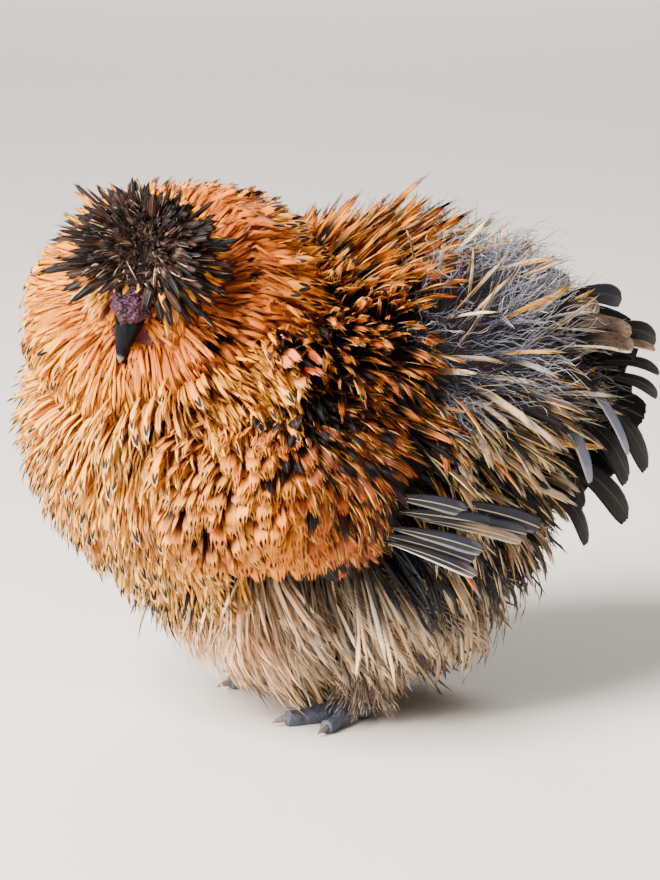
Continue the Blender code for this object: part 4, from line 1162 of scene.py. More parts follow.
def dished_ruff(directions):
    """The ruff's radius, with the hollow in which the face lies. Behind the cheek its rim is a steep step."""
    from_pole = degrees_from_face(directions)
    steep = on_cheek_side(directions)
    share = ((DISH_EDGE - 21.0 * steep - from_pole) / (DISH_SLOPE - 20.0 * steep)).clip(0.0, 1.0)
    return ruff_radius(directions) - DISH_DEPTH * share * share * (3.0 - 2.0 * share)


def in_skull(points, margin):
    """True where a point lies within the head, grown by a margin."""
    return inside_ellipsoid(head_local(points), np.zeros(3), SKULL_RADII, margin)


def in_bill(points, margin):
    left, ahead, up = head_local(points).T
    return (np.abs(left) < 0.004 + margin) & (ahead > 0.0) & (ahead < 0.034 + margin) & (up > -0.008 - margin)


print("the hollow at the face is", round(float(ruff_radius(FACE_POLE) - dished_ruff(FACE_POLE)), 4), "m deep")

# %% [markdown]
# Near the face the ruff is rusty, further out orange and amber, and buff in front. Its feathers grow as on
# the body, but run away from the face, keep out of skull, bill and shoulder, and are shorter round the
# face.

# %% A plumage on the ruff
def ruff_palette(p, from_pole, rng):
    n = len(p)
    outward = ((from_pole - 38.0) / 50.0).clip(0.0, 1.0)
    front = ((-0.07 - p[:, 1]) / 0.04).clip(0.0, 1.0)
    # Along the fold behind the cheek the ruff's colours are painted darker, towards chestnut and umber, as
    # its shade.
    crease_shade = near_crease(p, 0.0075)
    cheek = ease(head_local(p)[:, 0], 0.008, 0.02) * ease(-from_pole, -48.0, -40.0)
    ground = between(ORANGE, AMBER, outward + front + rng.uniform(-0.3, 0.1, n))
    inner = ease(-from_pole, -54.0, -38.0)
    ground = between(ground, RUST, 0.8 * cheek + 0.45 * inner * (1.0 - cheek) + rng.uniform(-0.1, 0.1, n))
    # A wider band of painted shade turns the ruff towards chestnut beside the fold.
    ground = between(ground, CHESTNUT, 0.75 * near_crease(p, 0.016) * (from_pole < 52.0) * rng.random(n))
    ground = between(ground, BUFF, 0.35 * front * outward)
    tip = between(AMBER, CREAM, 0.5 * outward * (0.3 + 0.7 * front) + rng.uniform(0, 0.2, n))
    tip = between(ground, tip, outward)
    root = between(RUST, ORANGE, 0.2 + outward)
    ground = between(ground, CHESTNUT, crease_shade * rng.uniform(0.6, 1.1, n))
    tip = between(tip, CHESTNUT, crease_shade * rng.uniform(0.3, 1.0, n))
    root = between(root, UMBER, crease_shade)
    top = (rng.random(n) < 0.05 + 0.25 * outward) & (crease_shade < 0.3) & (from_pole > 36.0)
    marks = np.stack([1.0 * top, 0.04 * rng.random(n), 0.1 * rng.random(n)], 1)
    return (root, ground, tip), marks, top


def ruff_feathers(name, region, shapes, count, seed, reach, half_width, proud, lift, scatter, steepness=1.7,
                  skull_margin=0.0):
    """Feathers on the ruff, away from the face, wherever region(places, degrees from the face) is true."""
    rng = np.random.default_rng(seed)
    roots = unit(even_directions(count) + rng.normal(0.0, 0.012, (count, 3)))
    places = RUFF_CENTRE + roots * dished_ruff(roots)[:, None]
    cores = RUFF_CENTRE + roots * (ruff_radius(roots) - RUFF_DEPTH)[:, None]
    in_body = cores - BODY_CENTRE
    buried = np.linalg.norm(in_body, axis=1) < body_radius(unit(in_body)) - BODY_DEPTH - 0.004
    from_pole = degrees_from_face(roots)
    over_shoulder = np.abs(places[:, 0] - RUFF_CENTRE[0]) > 0.042
    over_shoulder &= (places[:, 1] > -0.053) & (places[:, 2] < 0.206)
    keep = ~buried & ~over_shoulder & ~in_skull(cores, skull_margin) & ~in_bill(cores, 0.0)
    keep &= (from_pole > 8.0) & (from_pole < 150.0) & region(places, from_pole)
    keep &= rng.random(count) > 0.85 * near_crease(places)
    roots, places, from_pole = roots[keep], places[keep], from_pole[keep]
    n = len(roots)
    tints, marks, top = ruff_palette(places, from_pole, rng)
    flow = -FACE_POLE + np.array((0.0, 0.25, -0.15)) + rng.normal(0.0, scatter, (n, 3))
    lie = along_surface(flow + 0.15 * tousle_vector(roots, seed, 14.0), roots)
    depth = dished_ruff(roots) - ruff_radius(roots) + RUFF_DEPTH + ROOT_COVER
    cheek = on_cheek_side(roots) * (from_pole < 40.0)
    inner = ease(-from_pole, -40.0, -25.0)
    swell = 0.0012 * tousle(roots, seed + 5, 20.0)
    heights = rng.uniform(*proud, n) + swell
    lifts = np.where(top, lift[1] + 0.0004, rng.uniform(*lift, n))
    heights = np.where(top, proud[1] + 0.0008 + swell, heights)
    heights = heights - 0.002 * inner - 0.007 * near_crease(places, 0.0065)
    lengths = rng.uniform(*reach, n) * (1.0 - 0.3 * inner)
    to_fold = 0.003 + 0.058 * np.radians((40.0 - from_pole).clip(4.0))
    lengths = np.where(cheek > 0.5, np.minimum(lengths, to_fold), lengths)
    shaft = on_form(RUFF_CENTRE, dished_ruff, roots, lie, lengths, depth[:, None], heights, lifts, steepness)
    facing = facing_of(roots, lie, rng, 0.3)
    widths = rng.uniform(*half_width, n) * (1.0 + 0.45 * top)
    obj = grow(name, shapes, shaft, facing, widths, roots, tints, marks, rng)
    adopt(obj, RUFF_FEATHER, "plumage")


print("degrees from the face to straight up:", round(float(degrees_from_face(np.array([0.0, 0.0, 1.0]))), 1))

# %% [markdown]
# The ruff is laid in four pieces, as each needs its own order: smooth and ticked in front, rough and raised
# behind, fine strands in both, and short silky feathers round the face.

# %% Coat of the ruff
RUFF_SPLIT = -0.06
RUFF_SHAPES = SILK_SHAPES * 3 + WISP_SHAPES + TICK_SHAPES
ruff_feathers("ruff_front", lambda p, face: p[:, 1] < RUFF_SPLIT, RUFF_SHAPES, 10500, 31,
              reach=(0.03, 0.046), half_width=(0.0009, 0.0016), proud=(-0.0042, -0.0012),
              lift=(-0.001, 0.001), scatter=0.06)
ruff_feathers("ruff_silk", lambda p, face: face > 30.0, FINE_SHAPES, 8500, 34, reach=(0.026, 0.042),
              half_width=(0.0004, 0.0009), proud=(-0.003, 0.0004), lift=(-0.001, 0.002), scatter=0.1)
ruff_feathers("ruff_back", lambda p, face: p[:, 1] >= RUFF_SPLIT, RUFF_SHAPES, 7900, 32, reach=(0.022, 0.036),
              half_width=(0.0012, 0.0021), proud=(-0.007, 0.0), lift=(0.0, 0.005), scatter=0.16)
ruff_feathers("ruff_inner", lambda p, face: face < 48.0, SILK_SHAPES + WISP_SHAPES, 10500, 33,
              reach=(0.014, 0.026), half_width=(0.0009, 0.0016), proud=(-0.004, -0.001),
              lift=(-0.001, 0.002), scatter=0.12, steepness=7.0, skull_margin=-0.005)

# %% [markdown]
# The folded wing carries small coverts that lie like roof tiles. A silkie's rows are loose, so they grow
# like the rest of the coat: rounded ones in front, narrow dark ones behind, and dark down under the edge.
# The right wing mirrors the left.

# %% Wing coverts
UNDER_EDGE = 0.101
REAR_EDGE = -0.03


def wing_palette(p, rng):
    n = len(p)
    back = ease(p[:, 1] + 0.3 * (p[:, 2] - 0.13), -0.062, -0.02)
    front = ((-0.055 - p[:, 1]) / 0.03).clip(0.0, 1.0)
    ground = between(AMBER, ORANGE, rng.uniform(0.4, 1.2, n))
    ground = between(ground, screen(206, 146, 66), 0.5 * front)
    ground = between(ground, RUST, (0.42 + back) * rng.uniform(0.4, 1.0, n))
    ground = between(ground, CHESTNUT, 1.4 * back * rng.random(n) ** 1.2)
    tip = between(ORANGE, BUFF, 0.7 * rng.random(n) ** 2)
    tip = between(tip, RUST, back * rng.random(n))
    root = between(BLACK, CHESTNUT, rng.random(n))
    # Some rear coverts are black of their own; in the opening at the shoulder they are painted black as its
    # shade.
    dark = rng.random(n) < 0.22 * back + 0.8 * in_gap(p)
    ground[dark] = BLACK
    tip[dark] = between(BLACK, CHESTNUT, rng.random(n))[dark]
    drops = (rng.random(n) < 0.85) * (1.0 - 0.6 * back) * ~dark
    marks = np.stack([drops, 0.25 * back + 0.15 * rng.random(n), back * rng.random(n) * ~dark], 1)
    return (root, ground, tip), marks


def under_palette(n, rng):
    ground = between(BLACK, CHARCOAL, rng.random(n))
    return (constant(BLACK, n), ground, between(ground, SLATE, rng.random(n))), np.zeros((n, 3))


def wing_coverts(side_name, side, part, shapes, count, seed, reach, half_width, proud):
    """Coverts on the folded wing: rounded in front, narrow and hanging in the rear, down under its edge."""
    rng = np.random.default_rng(seed)
    roots = unit(even_directions(count) + rng.normal(0.0, ROOT_SCATTER, (count, 3)))
    roots = roots[(roots[:, 0] > 0.12 - 0.22 * roots[:, 2]) & (roots[:, 2] > -0.8) & (roots[:, 1] < 0.6)]
    places = WING_CENTRE + roots * wing_radius(roots)[:, None]
    behind = places[:, 1] + 0.3 * (places[:, 2] - 0.13) + rng.normal(0.0, 0.006, len(places)) > REAR_EDGE
    low = places[:, 2] + rng.normal(0.0, 0.002, len(places)) < UNDER_EDGE
    in_part = {"front": ~behind & ~low, "rear": behind & ~low, "under": low}[part]
    keep = in_part & (in_gap(places) < rng.uniform(0.3, 1.0, len(places)))
    roots, places = roots[keep], places[keep]
    n = len(roots)
    tints, marks = under_palette(n, rng) if part == "under" else wing_palette(places, rng)
    top = ease(places[:, 2], 0.15, 0.178)[:, None]
    flow = (0.0, 0.36, -0.9) + top * (0.45, -0.3, 0.0) + rng.normal(0.0, 0.1, (n, 3))
    flow = flow + 0.22 * tousle_vector(roots, 47, 7.0)
    lie = along_surface(flow, roots)
    facing = facing_of(roots, lie, rng, 0.4)
    mirror = np.array((side, 1.0, 1.0))
    heights = rng.uniform(*proud, n) + 0.0016 * tousle(roots, 45, 9.0)
    lengths, lifts = rng.uniform(*reach, n), rng.uniform(0.0, 0.005, n)
    on_left = on_form(WING_CENTRE, wing_radius, roots, lie, lengths, WING_DEPTH + ROOT_COVER, heights, lifts)
    obj = grow("coverts_" + part + "_" + side_name, shapes, lambda t: on_left(t) * mirror, facing * mirror,
               rng.uniform(*half_width, n), roots, tints, marks, rng)
    adopt(obj, BACK_FEATHER, "plumage")


SIDES = {"left": 1.0, "right": -1.0}
for side_name, side in SIDES.items():
    wing_coverts(side_name, side, "front", COVERT_SHAPES, 2300, 41, reach=(0.017, 0.026),
                 half_width=(0.0026, 0.004), proud=(-0.004, 0.0))
    wing_coverts(side_name, side, "rear", SILK_SHAPES + NARROW_SHAPES, 3800, 42, reach=(0.018, 0.03),
                 half_width=(0.0013, 0.0025), proud=(-0.007, -0.001))
    wing_coverts(side_name, side, "under", PLUME_SHAPES, 1500, 43, reach=(0.018, 0.028),
                 half_width=(0.0034, 0.0052), proud=(-0.012, -0.006))

# %% [markdown]
# A silkie can't fly, so her slate flight feathers are short and loose. They are few and large, so each has
# its own row: root, tip, half width and a kind from 0 to 1.

# %% Flight feathers
def quills(name, rows, side, facing, sag, palette, shapes, material, slot, seed):
    """Separate large feathers, one for each row of (root, tip, half width, kind), given for the left side."""
    rng = np.random.default_rng(seed)
    mirror = np.array((side, 1.0, 1.0))
    roots, tips, widths, kinds = (np.array([row[k] for row in rows]) for k in range(4))
    n = len(rows)
    tints, marks = palette(kinds, n, rng)
    line = on_line(roots * mirror, tips * mirror, constant(sag, n) * mirror)
    facings = unit(constant(facing, n) + rng.normal(0.0, 0.12, (n, 3))) * mirror
    outward = unit(roots - BODY_CENTRE) * mirror
    obj = grow(name, shapes, line, facings, widths, outward, tints, marks, rng)
    if side < 0:
        obj.data.flip_normals()
    adopt(obj, material, slot)


FLIGHTS = (
    ((0.088, 0.0306, 0.1175), (0.08, 0.0857, 0.1), 0.0046, 0.0),
    ((0.09, 0.024, 0.112), (0.084, 0.074, 0.096), 0.0044, 0.2),
    ((0.0965, 0.0008, 0.1252), (0.093, 0.0411, 0.1129), 0.0036, 0.5),
    ((0.0935, 0.0085, 0.1171), (0.088, 0.06, 0.1021), 0.0044, 0.2),
    ((0.094, 0.017, 0.1131), (0.0865, 0.072, 0.095), 0.0026, 0.9),
    ((0.095, 0.0037, 0.111), (0.092, 0.0491, 0.093), 0.0036, 0.7),
    ((0.093, 0.001, 0.1075), (0.0905, 0.044, 0.088), 0.0048, 0.1),
    ((0.094, 0.0014, 0.105), (0.094, 0.0448, 0.0834), 0.003, 1.0),
)


def flight_palette(kinds, n, rng):
    ground = between(SLATE * 0.22, SLATE * 0.5, kinds * (kinds < 1.0))
    ground[kinds == 0.9] = TAUPE * 0.6
    tip = between(ground, PALE_GREY, 0.15 * kinds)
    edged = 0.1 + 0.35 * kinds + 0.55 * (kinds == 1.0)
    marks = np.stack([np.zeros(n), 0.4 * kinds * (kinds < 1.0), edged], axis=1)
    return (constant(CHARCOAL, n), ground, tip), marks


FLIGHT_SHAPES = vanes((-0.6, -0.2, 0.3), QUILL_STATIONS, 8, ROUND_OUTLINE, slit=0.05, blunt=0.05, cup=0.1,
                      thickness=0.035, ripple=0.05)
for side_name, side in SIDES.items():
    quills("flights_" + side_name, FLIGHTS, side, (1.0, 0.1, -0.15), (0.004, 0.0, 0.002), flight_palette,
           FLIGHT_SHAPES, FLIGHT_FEATHER, "plumage", 51)

# %% [markdown]
# The tail is a ragged fan of black feathers with a few slate and brown ones over it. Those that show have
# rows, as the flights have. Between them a fan set out by a loop fills the dark depth, since nobody can
# tell its feathers apart.

# %% Tail
TAIL_ROWS = (
    ((0.034, 0.1183, 0.1916), (0.024, 0.1565, 0.1874), 0.0052, 0.1),
    ((0.03, 0.1407, 0.1746), (0.012, 0.1829, 0.1658), 0.0052, 0.0),
    ((0.05, 0.0953, 0.1839), (0.03, 0.1587, 0.1724), 0.0048, 0.5),
    ((0.052, 0.1065, 0.1748), (0.034, 0.1575, 0.1656), 0.0044, 0.5),
    ((0.05, 0.0993, 0.1872), (0.034, 0.1392, 0.1874), 0.004, 0.5),
    ((0.04, 0.1205, 0.1713), (0.022, 0.1765, 0.1622), 0.0022, 0.6),
    ((0.03, 0.1399, 0.1607), (0.014, 0.1838, 0.1489), 0.0034, 0.0),
    ((0.03, 0.1411, 0.1541), (0.016, 0.1818, 0.1379), 0.0036, 0.0),
    ((0.04, 0.1313, 0.1479), (0.03, 0.1687, 0.1083), 0.0076, 0.0),
    ((0.046, 0.1202, 0.1406), (0.04, 0.1532, 0.1071), 0.0072, 0.0),
    ((0.055, 0.1057, 0.1252), (0.044, 0.1503, 0.0888), 0.0072, 0.0),
    ((0.058, 0.098, 0.114), (0.056, 0.1224, 0.083), 0.0056, 0.0),
    ((0.066, 0.0956, 0.151), (0.06, 0.1216, 0.1123), 0.0052, 0.9),
    ((0.06, 0.1073, 0.1666), (0.05, 0.1471, 0.1214), 0.0038, 1.0),
)
DEPTH_COUNT = 30
GOLDEN_SHARE = 0.618


def tail_palette(kinds, n, rng):
    """Kind 0 is black, 0.5 grey brown with cream edges and 1 satin slate."""
    brown = (kinds > 0.4) & (kinds < 0.7)
    ground = between(BLACK * 0.5, screen(104, 110, 134), kinds)
    ground[brown] = TAUPE * 0.32
    tip = between(BLACK * 0.5, screen(140, 140, 150), kinds)
    tip[brown] = TAUPE
    marks = np.stack([np.zeros(n), 0.8 * brown, 1.0 * brown + 0.25 * (kinds >= 0.9)], 1)
    return (constant(BLACK * 0.5, n), ground, tip), marks


def tail_depth():
    """The plain black feathers inside the fan."""
    rng = np.random.default_rng(61)
    rows = []
    for i in range(DEPTH_COUNT):
        t = i / (DEPTH_COUNT - 1)
        rise = math.radians(30 - 98 * t + rng.uniform(-6, 6))
        splay = math.radians(4.0 + 34.0 * (GOLDEN_SHARE * i % 1.0) + rng.uniform(-3, 3))
        out = np.array((math.sin(splay), math.cos(splay) * math.cos(rise), math.cos(splay) * math.sin(rise)))
        root = TAIL_CENTRE + out * 0.01
        rows.append((root, root + out * rng.uniform(0.036, 0.052), rng.uniform(0.007, 0.0095), 0.0))
    return rows


for side_name, side in SIDES.items():
    quills("tail_depth_" + side_name, tail_depth(), side, (1.0, 0.35, 0.0), (0.004, 0.0, 0.005), tail_palette,
           ROUND_SHAPES, TAIL_FEATHER, "tail_feather", 63)
    quills("tail_side_" + side_name, TAIL_ROWS, side, (0.9, 0.35, 0.2), (0.006, 0.0, 0.004), tail_palette,
           ROUND_SHAPES, TAIL_FEATHER, "tail_feather", 62)

# %% [markdown]
# The crest opens like a flower. Each layer is a ring of feathers that leave the crown at a certain slope.
# They are shorter over the comb and the eye, so that the face shows.

# %% A layer of the crest
CREST_BASE = np.array((0.0, -0.005, 0.01))
CREST_CORE = (0.0105, 0.012, 0.0075)
CROWN = HEAD_ARRAY @ np.array((0.0, 0.0, 1.0))
CREST_SAG = 0.003
CREST_TURN = 0.61803


def crest_feathers(name, palette, shapes, count, seed, rises, lengths, half_width, parting, wildness):
    """Feathers that leave the crown at slopes between rises, in degrees, and shorten between the lengths."""
    rng = np.random.default_rng(seed)
    turn = 2.0 * math.pi * ((np.arange(count) * CREST_TURN) % 1.0)
    low, high = (math.sin(math.radians(rise)) for rise in rises)
    height = low + (high - low) * (np.arange(count) + 0.5) / count
    rise = np.arcsin(height)
    before_comb = np.degrees(np.abs(np.arctan2(np.sin(turn - math.pi / 2), np.cos(turn - math.pi / 2))))
    share = (height - low) / (high - low)
    reach = (lengths[0] + (lengths[1] - lengths[0]) * share) * rng.uniform(0.78, 1.02, count)
    over_comb = ease(-before_comb, -parting, 0.0)
    reach = reach * (1.0 - 0.3 * (-np.sin(turn)).clip(0.0)) * (1.0 - 0.62 * over_comb)
    over_eye = np.exp(-((before_comb - 38.0) / 13.0) ** 2)
    over_eye = over_eye * ease(rise, math.radians(8), math.radians(20))
    reach = reach * (1.0 - 0.55 * over_eye)
    out = np.stack([np.cos(turn) * np.cos(rise), np.sin(turn) * np.cos(rise), height], axis=1)
    roots = to_head(CREST_BASE + out * CREST_CORE)
    tips = to_head(CREST_BASE + out * reach[:, None] + rng.normal(0.0, wildness, (count, 3)) * reach[:, None])
    radial = unit(tips - roots)
    facing = unit(along_surface(constant(CROWN, count) + rng.normal(0.0, 0.25, (count, 3)), radial))
    sags = constant(CROWN * CREST_SAG, count) * rng.uniform(0.3, 1.5, count)[:, None]
    tints, marks = palette(count, rng)
    widths = rng.uniform(*half_width, count)
    obj = grow(name, shapes, on_line(roots, tips, sags), facing, widths, out, tints, marks, rng)
    adopt(obj, CREST_FEATHER, "crest_feather")


print("the crown points to", CROWN.round(2))

# %% [markdown]
# Ragged black lances lie outside, finer ones over them, a tousled nest of curls in the middle and a rim in
# the ruff's colours underneath.

# %% Crest
def black_palette(n, rng):
    ground = between(BLACK * 0.7, UMBER, rng.random(n) ** 2)
    tip = between(BLACK * 0.6, UMBER, 0.6 * rng.random(n) ** 2)
    edged = rng.random(n) < 0.24
    root = between(TAUPE, UMBER, rng.random(n))
    return (root, ground, tip), np.stack([np.zeros(n), np.zeros(n), edged * rng.uniform(0.3, 0.9, n)], 1)


def rim_palette(n, rng):
    ground = between(ORANGE, AMBER, rng.random(n))
    tip = between(BLACK, UMBER, rng.random(n))
    marks = np.stack([np.zeros(n), 0.2 * rng.random(n), 0.3 * rng.random(n)], 1)
    return (constant(RUST, n), ground, tip), marks


def nest_palette(n, rng):
    ground = between(BLACK, TAUPE * 0.6, rng.random(n) ** 2)
    tip = between(UMBER, CREAM, rng.random(n) ** 3)
    return (constant(BLACK, n), ground, tip), np.zeros((n, 3))


crest_feathers("crest_rim", rim_palette, RAGGED_SHAPES, 480, 71, rises=(-26, 8), lengths=(0.039, 0.037),
               half_width=(0.001, 0.0017), parting=75.0, wildness=0.1)
crest_feathers("crest_lances", black_palette, RAGGED_SHAPES, 330, 72, rises=(-3, 44), lengths=(0.043, 0.033),
               half_width=(0.0012, 0.0024), parting=50.0, wildness=0.07)
crest_feathers("crest_wisps", black_palette, RAGGED_SHAPES + SILK_SHAPES, 700, 74, rises=(10, 74),
               lengths=(0.036, 0.02), half_width=(0.0005, 0.0011), parting=45.0, wildness=0.16)
crest_feathers("crest_nest", nest_palette, CURL_SHAPES, 200, 73, rises=(46, 89), lengths=(0.021, 0.014),
               half_width=(0.0016, 0.0026), parting=35.0, wildness=0.25)

# %% [markdown]
# Under the feathers lies one skin. It could be sculpted, but it hardly shows, so it is put together from
# rounded forms and tubes. A voxel remesh melts them into one closed surface.

# %% Rounded forms, tubes and how they melt
def rounded(centre, radii, axes=Matrix.Identity(3), subdivisions=4, shape=None):
    """Vertices and faces of an ellipsoid, or of a form whose radius in any direction is shape(direction)."""
    bm = bmesh.new()
    bmesh.ops.create_icosphere(bm, subdivisions=subdivisions, radius=1.0)
    points = np.array([v.co[:] for v in bm.verts])
    faces = np.array([[v.index for v in f.verts] for f in bm.faces])
    bm.free()
    if shape is not None:
        return np.asarray(centre) + points * shape(unit(points))[:, None], faces
    return np.asarray(centre) + (points * radii) @ np.array(axes).T, faces


def tube(sections, sides):
    """A closed form through oval rings given as (centre, half width vector, half height vector)."""
    angles = 2.0 * math.pi * np.arange(sides) / sides
    rings = []
    for centre, width, height in sections:
        rings.append(np.asarray(centre) + np.outer(np.cos(angles), width) + np.outer(np.sin(angles), height))
    points = np.concatenate(rings + [[sections[0][0]], [sections[-1][0]]])
    faces = []
    first, last = len(points) - 2, len(points) - 1
    top = sides * (len(sections) - 1)
    for k in range(sides):
        after = (k + 1) % sides
        for r in range(len(sections) - 1):
            a, b = r * sides + k, r * sides + after
            faces += [(a, b, b + sides), (a, b + sides, a + sides)]
        faces.append((first, after, k))
        faces.append((last, top + k, top + after))
    return points, np.array(faces)


def joined(parts):
    points, faces, total = [], [], 0
    for p, f in parts:
        points.append(p)
        faces.append(f + total)
        total += len(p)
    return np.concatenate(points), np.concatenate(faces)


def bake_modifiers(obj):
    depsgraph = bpy.context.evaluated_depsgraph_get()
    mesh = bpy.data.meshes.new_from_object(obj.evaluated_get(depsgraph))
    obj.modifiers.clear()
    old = obj.data
    obj.data = mesh
    bpy.data.meshes.remove(old)
    mesh.name = obj.name
    mesh.shade_smooth()
    return obj


def melt(name, parts, voxel, smooth=2):
    """The parts merged into one closed surface by a voxel remesh."""
    obj = mesh_piece(name, *joined(parts))
    bm = bmesh.new()
    bm.from_mesh(obj.data)
    bmesh.ops.recalc_face_normals(bm, faces=bm.faces)
    bm.to_mesh(obj.data)
    bm.free()
    remesh = obj.modifiers.new("melt", "REMESH")
    remesh.mode = "VOXEL"
    remesh.voxel_size = voxel
    soften = obj.modifiers.new("soften", "SMOOTH")
    soften.iterations = smooth
    soften.factor = 0.5
    return bake_modifiers(obj)


def vertex_places(obj):
    """The vertices of a piece in the drawing's coordinates."""
    flat = np.empty(3 * len(obj.data.vertices), np.float32)
    obj.data.vertices.foreach_get("co", flat)
    return flat.reshape(-1, 3).astype(float) - np.array(SHIFT)


def move_vertices(obj, places):
    obj.data.vertices.foreach_set("co", (places + np.array(SHIFT)).astype(np.float32).ravel())
    obj.data.update()


print("faces of a small ball:", len(rounded((0, 0, 0), (1, 1, 1), subdivisions=3)[1]))

# %% [markdown]
# The head is a small skull with hollows for the eyes, fleshy lids, ear lobes and two small wattles. They
# are separate forms, easy to place along the head's own axes, and melt together later.

# %% Head and face
GAZE = (0.18, 0.08)
LID_RADII = (0.0049, 0.0042)
LID_THICKNESS = 0.001
WATTLE_OUT = 0.0066
WATTLES = ((0.015, -0.0125, (0.003, 0.0044, 0.0066)), (0.017, -0.0163, (0.0026, 0.0032, 0.0042)))


def skull_part():
    points, faces = rounded((0, 0, 0), (1, 1, 1), subdivisions=5)
    side, forward, up = points.T
    ahead = forward.clip(0.0)
    narrow = 1.0 - 0.42 * ahead ** 2
    socket = 0.1 * np.exp(-((forward - 0.3) ** 2 + (up - 0.12) ** 2) / 0.1) * np.abs(side)
    local = np.stack([side * SKULL_RADII[0] * (narrow - socket), forward * SKULL_RADII[1],
                      up * SKULL_RADII[2] * (1.0 - 0.3 * ahead) - 0.0025 * ahead], axis=1)
    return to_head(local), faces


def eye_centre(side):
    return np.array(head_point(side * EYE_PLACE[0], EYE_PLACE[1], EYE_PLACE[2]))


def eye_outward(side):
    """The way an eye looks: sideways, a little ahead and up."""
    return HEAD_ARRAY @ unit(np.array((side, *GAZE)))


def lid_part(side):
    """A fleshy ring round the eye, a little longer than it is high."""
    outward = eye_outward(side)
    bill = np.array(HEAD_BILL)
    along = unit(bill - outward * dot(bill, outward))
    across = np.cross(outward, along)
    centre = eye_centre(side) + outward * 0.62 * EYE_RADIUS
    around, tube_sides = 40, 10
    points = []
    for i in range(around):
        angle = 2.0 * math.pi * i / around
        spoke = along * math.cos(angle) * LID_RADII[0] + across * math.sin(angle) * LID_RADII[1]
        for k in range(tube_sides):
            turn = 2.0 * math.pi * k / tube_sides
            ring = unit(spoke) * math.cos(turn) + outward * math.sin(turn)
            points.append(centre + spoke + ring * LID_THICKNESS)
    faces = []
    for i in range(around):
        here, there = i * tube_sides, ((i + 1) % around) * tube_sides
        for k in range(tube_sides):
            after = (k + 1) % tube_sides
            faces += [(here + k, there + k, there + after), (here + k, there + after, here + after)]
    return np.array(points), np.array(faces)


def face_parts():
    parts = [skull_part(), rounded(to_head(CREST_BASE[None])[0], (0.015, 0.0165, 0.0105), HEAD_AXES)]
    for side in SIDES.values():
        parts.append(lid_part(side))
        ear_lobe = head_point(side * 0.0125, -0.006, -0.004)
        parts.append(rounded(ear_lobe, (0.003, 0.0046, 0.005), HEAD_AXES, 3))
        for ahead, up, radii in WATTLES:
            parts.append(rounded(head_point(side * WATTLE_OUT, ahead, up), radii, HEAD_AXES, 3))
    return parts


print("forms in the face:", len(face_parts()))

# %% [markdown]
# A silkie has five toes where most hens have four. Each is a tube with knuckles that leaves the foot at its
# own angle. The soles are pressed flat, so that she stands firmly.

# %% Feet
FOOT_SPREAD = 0.034
FOOT_Y = 0.018
SHANK_TOP = 0.05
SHANK_FOOT = 0.0035
SHANK_RADIUS = 0.0052
SHANK_SWELL = (1.22, 1.02, 0.98, 0.97, 0.98, 1.0, 1.1, 1.3, 1.5)
TOES = {"middle": (-4, 0.033, 0.004, 0.0), "outer": (34, 0.027, 0.0036, 0.0),
        "inner": (-40, 0.025, 0.0036, 0.0), "hind": (-158, 0.013, 0.0033, 0.0),
        "fifth": (-128, 0.012, 0.003, 0.01)}
SOLE_GAP = 0.0002
ACROSS = np.array((1.0, 0.0, 0.0))
BACK = np.array((0.0, 1.0, 0.0))
UP = np.array((0.0, 0.0, 1.0))


def toe_axis(side, angle):
    turn = math.radians(angle) * side
    return np.array((math.sin(turn), -math.cos(turn), 0.0))


def foot_parts(side):
    """The pad, the toes as (angle, length, radius, rise of the tip) and the shank of one foot."""
    foot = np.array((side * FOOT_SPREAD, FOOT_Y, FLOOR))
    parts = [rounded(foot + (0.0, 0.0, 0.0045), (0.0068, 0.0075, 0.0052), subdivisions=3)]
    for angle, length, radius, lift in TOES.values():
        along = toe_axis(side, angle)
        across = np.cross(UP, along)
        sections = []
        for share in np.linspace(0.0, 1.0, 22):
            knuckles = 1.0 + 0.09 * math.cos(4.0 * math.pi * share) - 0.16 * share ** 6
            height = radius * 0.8 + lift * share + 0.003 * (1.0 - share) ** 2
            r = radius * knuckles
            sections.append((foot + along * (0.002 + length * share) + UP * height, across * r, UP * r))
        parts.append(tube(sections, 16))
    shank = []
    for share, swell in zip(np.linspace(0.0, 1.0, len(SHANK_SWELL)), SHANK_SWELL):
        place = foot + (-side * 0.004 * share, 0.008 * share, SHANK_FOOT + (SHANK_TOP - SHANK_FOOT) * share)
        shank.append((place, ACROSS * SHANK_RADIUS * swell, BACK * SHANK_RADIUS * swell))
    parts.append(tube(shank, 20))
    return parts


def flatten_soles(obj):
    places = vertex_places(obj)
    places[:, 2] = places[:, 2].clip(FLOOR + SOLE_GAP)
    move_vertices(obj, places)


print("forms in a foot:", len(foot_parts(1.0)))

# %% [markdown]
# Head and feet need finer detail than the body, so they melt with smaller voxels and are joined to it by a
# Boolean union. An array says where the skin is face, leg or under the coat.

# %% Skin
BODY_VOXEL = 0.003
HEAD_VOXEL = 0.0006
FOOT_VOXEL = 0.0008


def merge(target, *others):
    """Union of closed pieces into target."""
    for other in others:
        union = target.modifiers.new("union", "BOOLEAN")
        union.operation = "UNION"
        union.solver = "MANIFOLD"
        union.object = other
    bake_modifiers(target)
    for other in others:
        bpy.data.objects.remove(other)
    return target


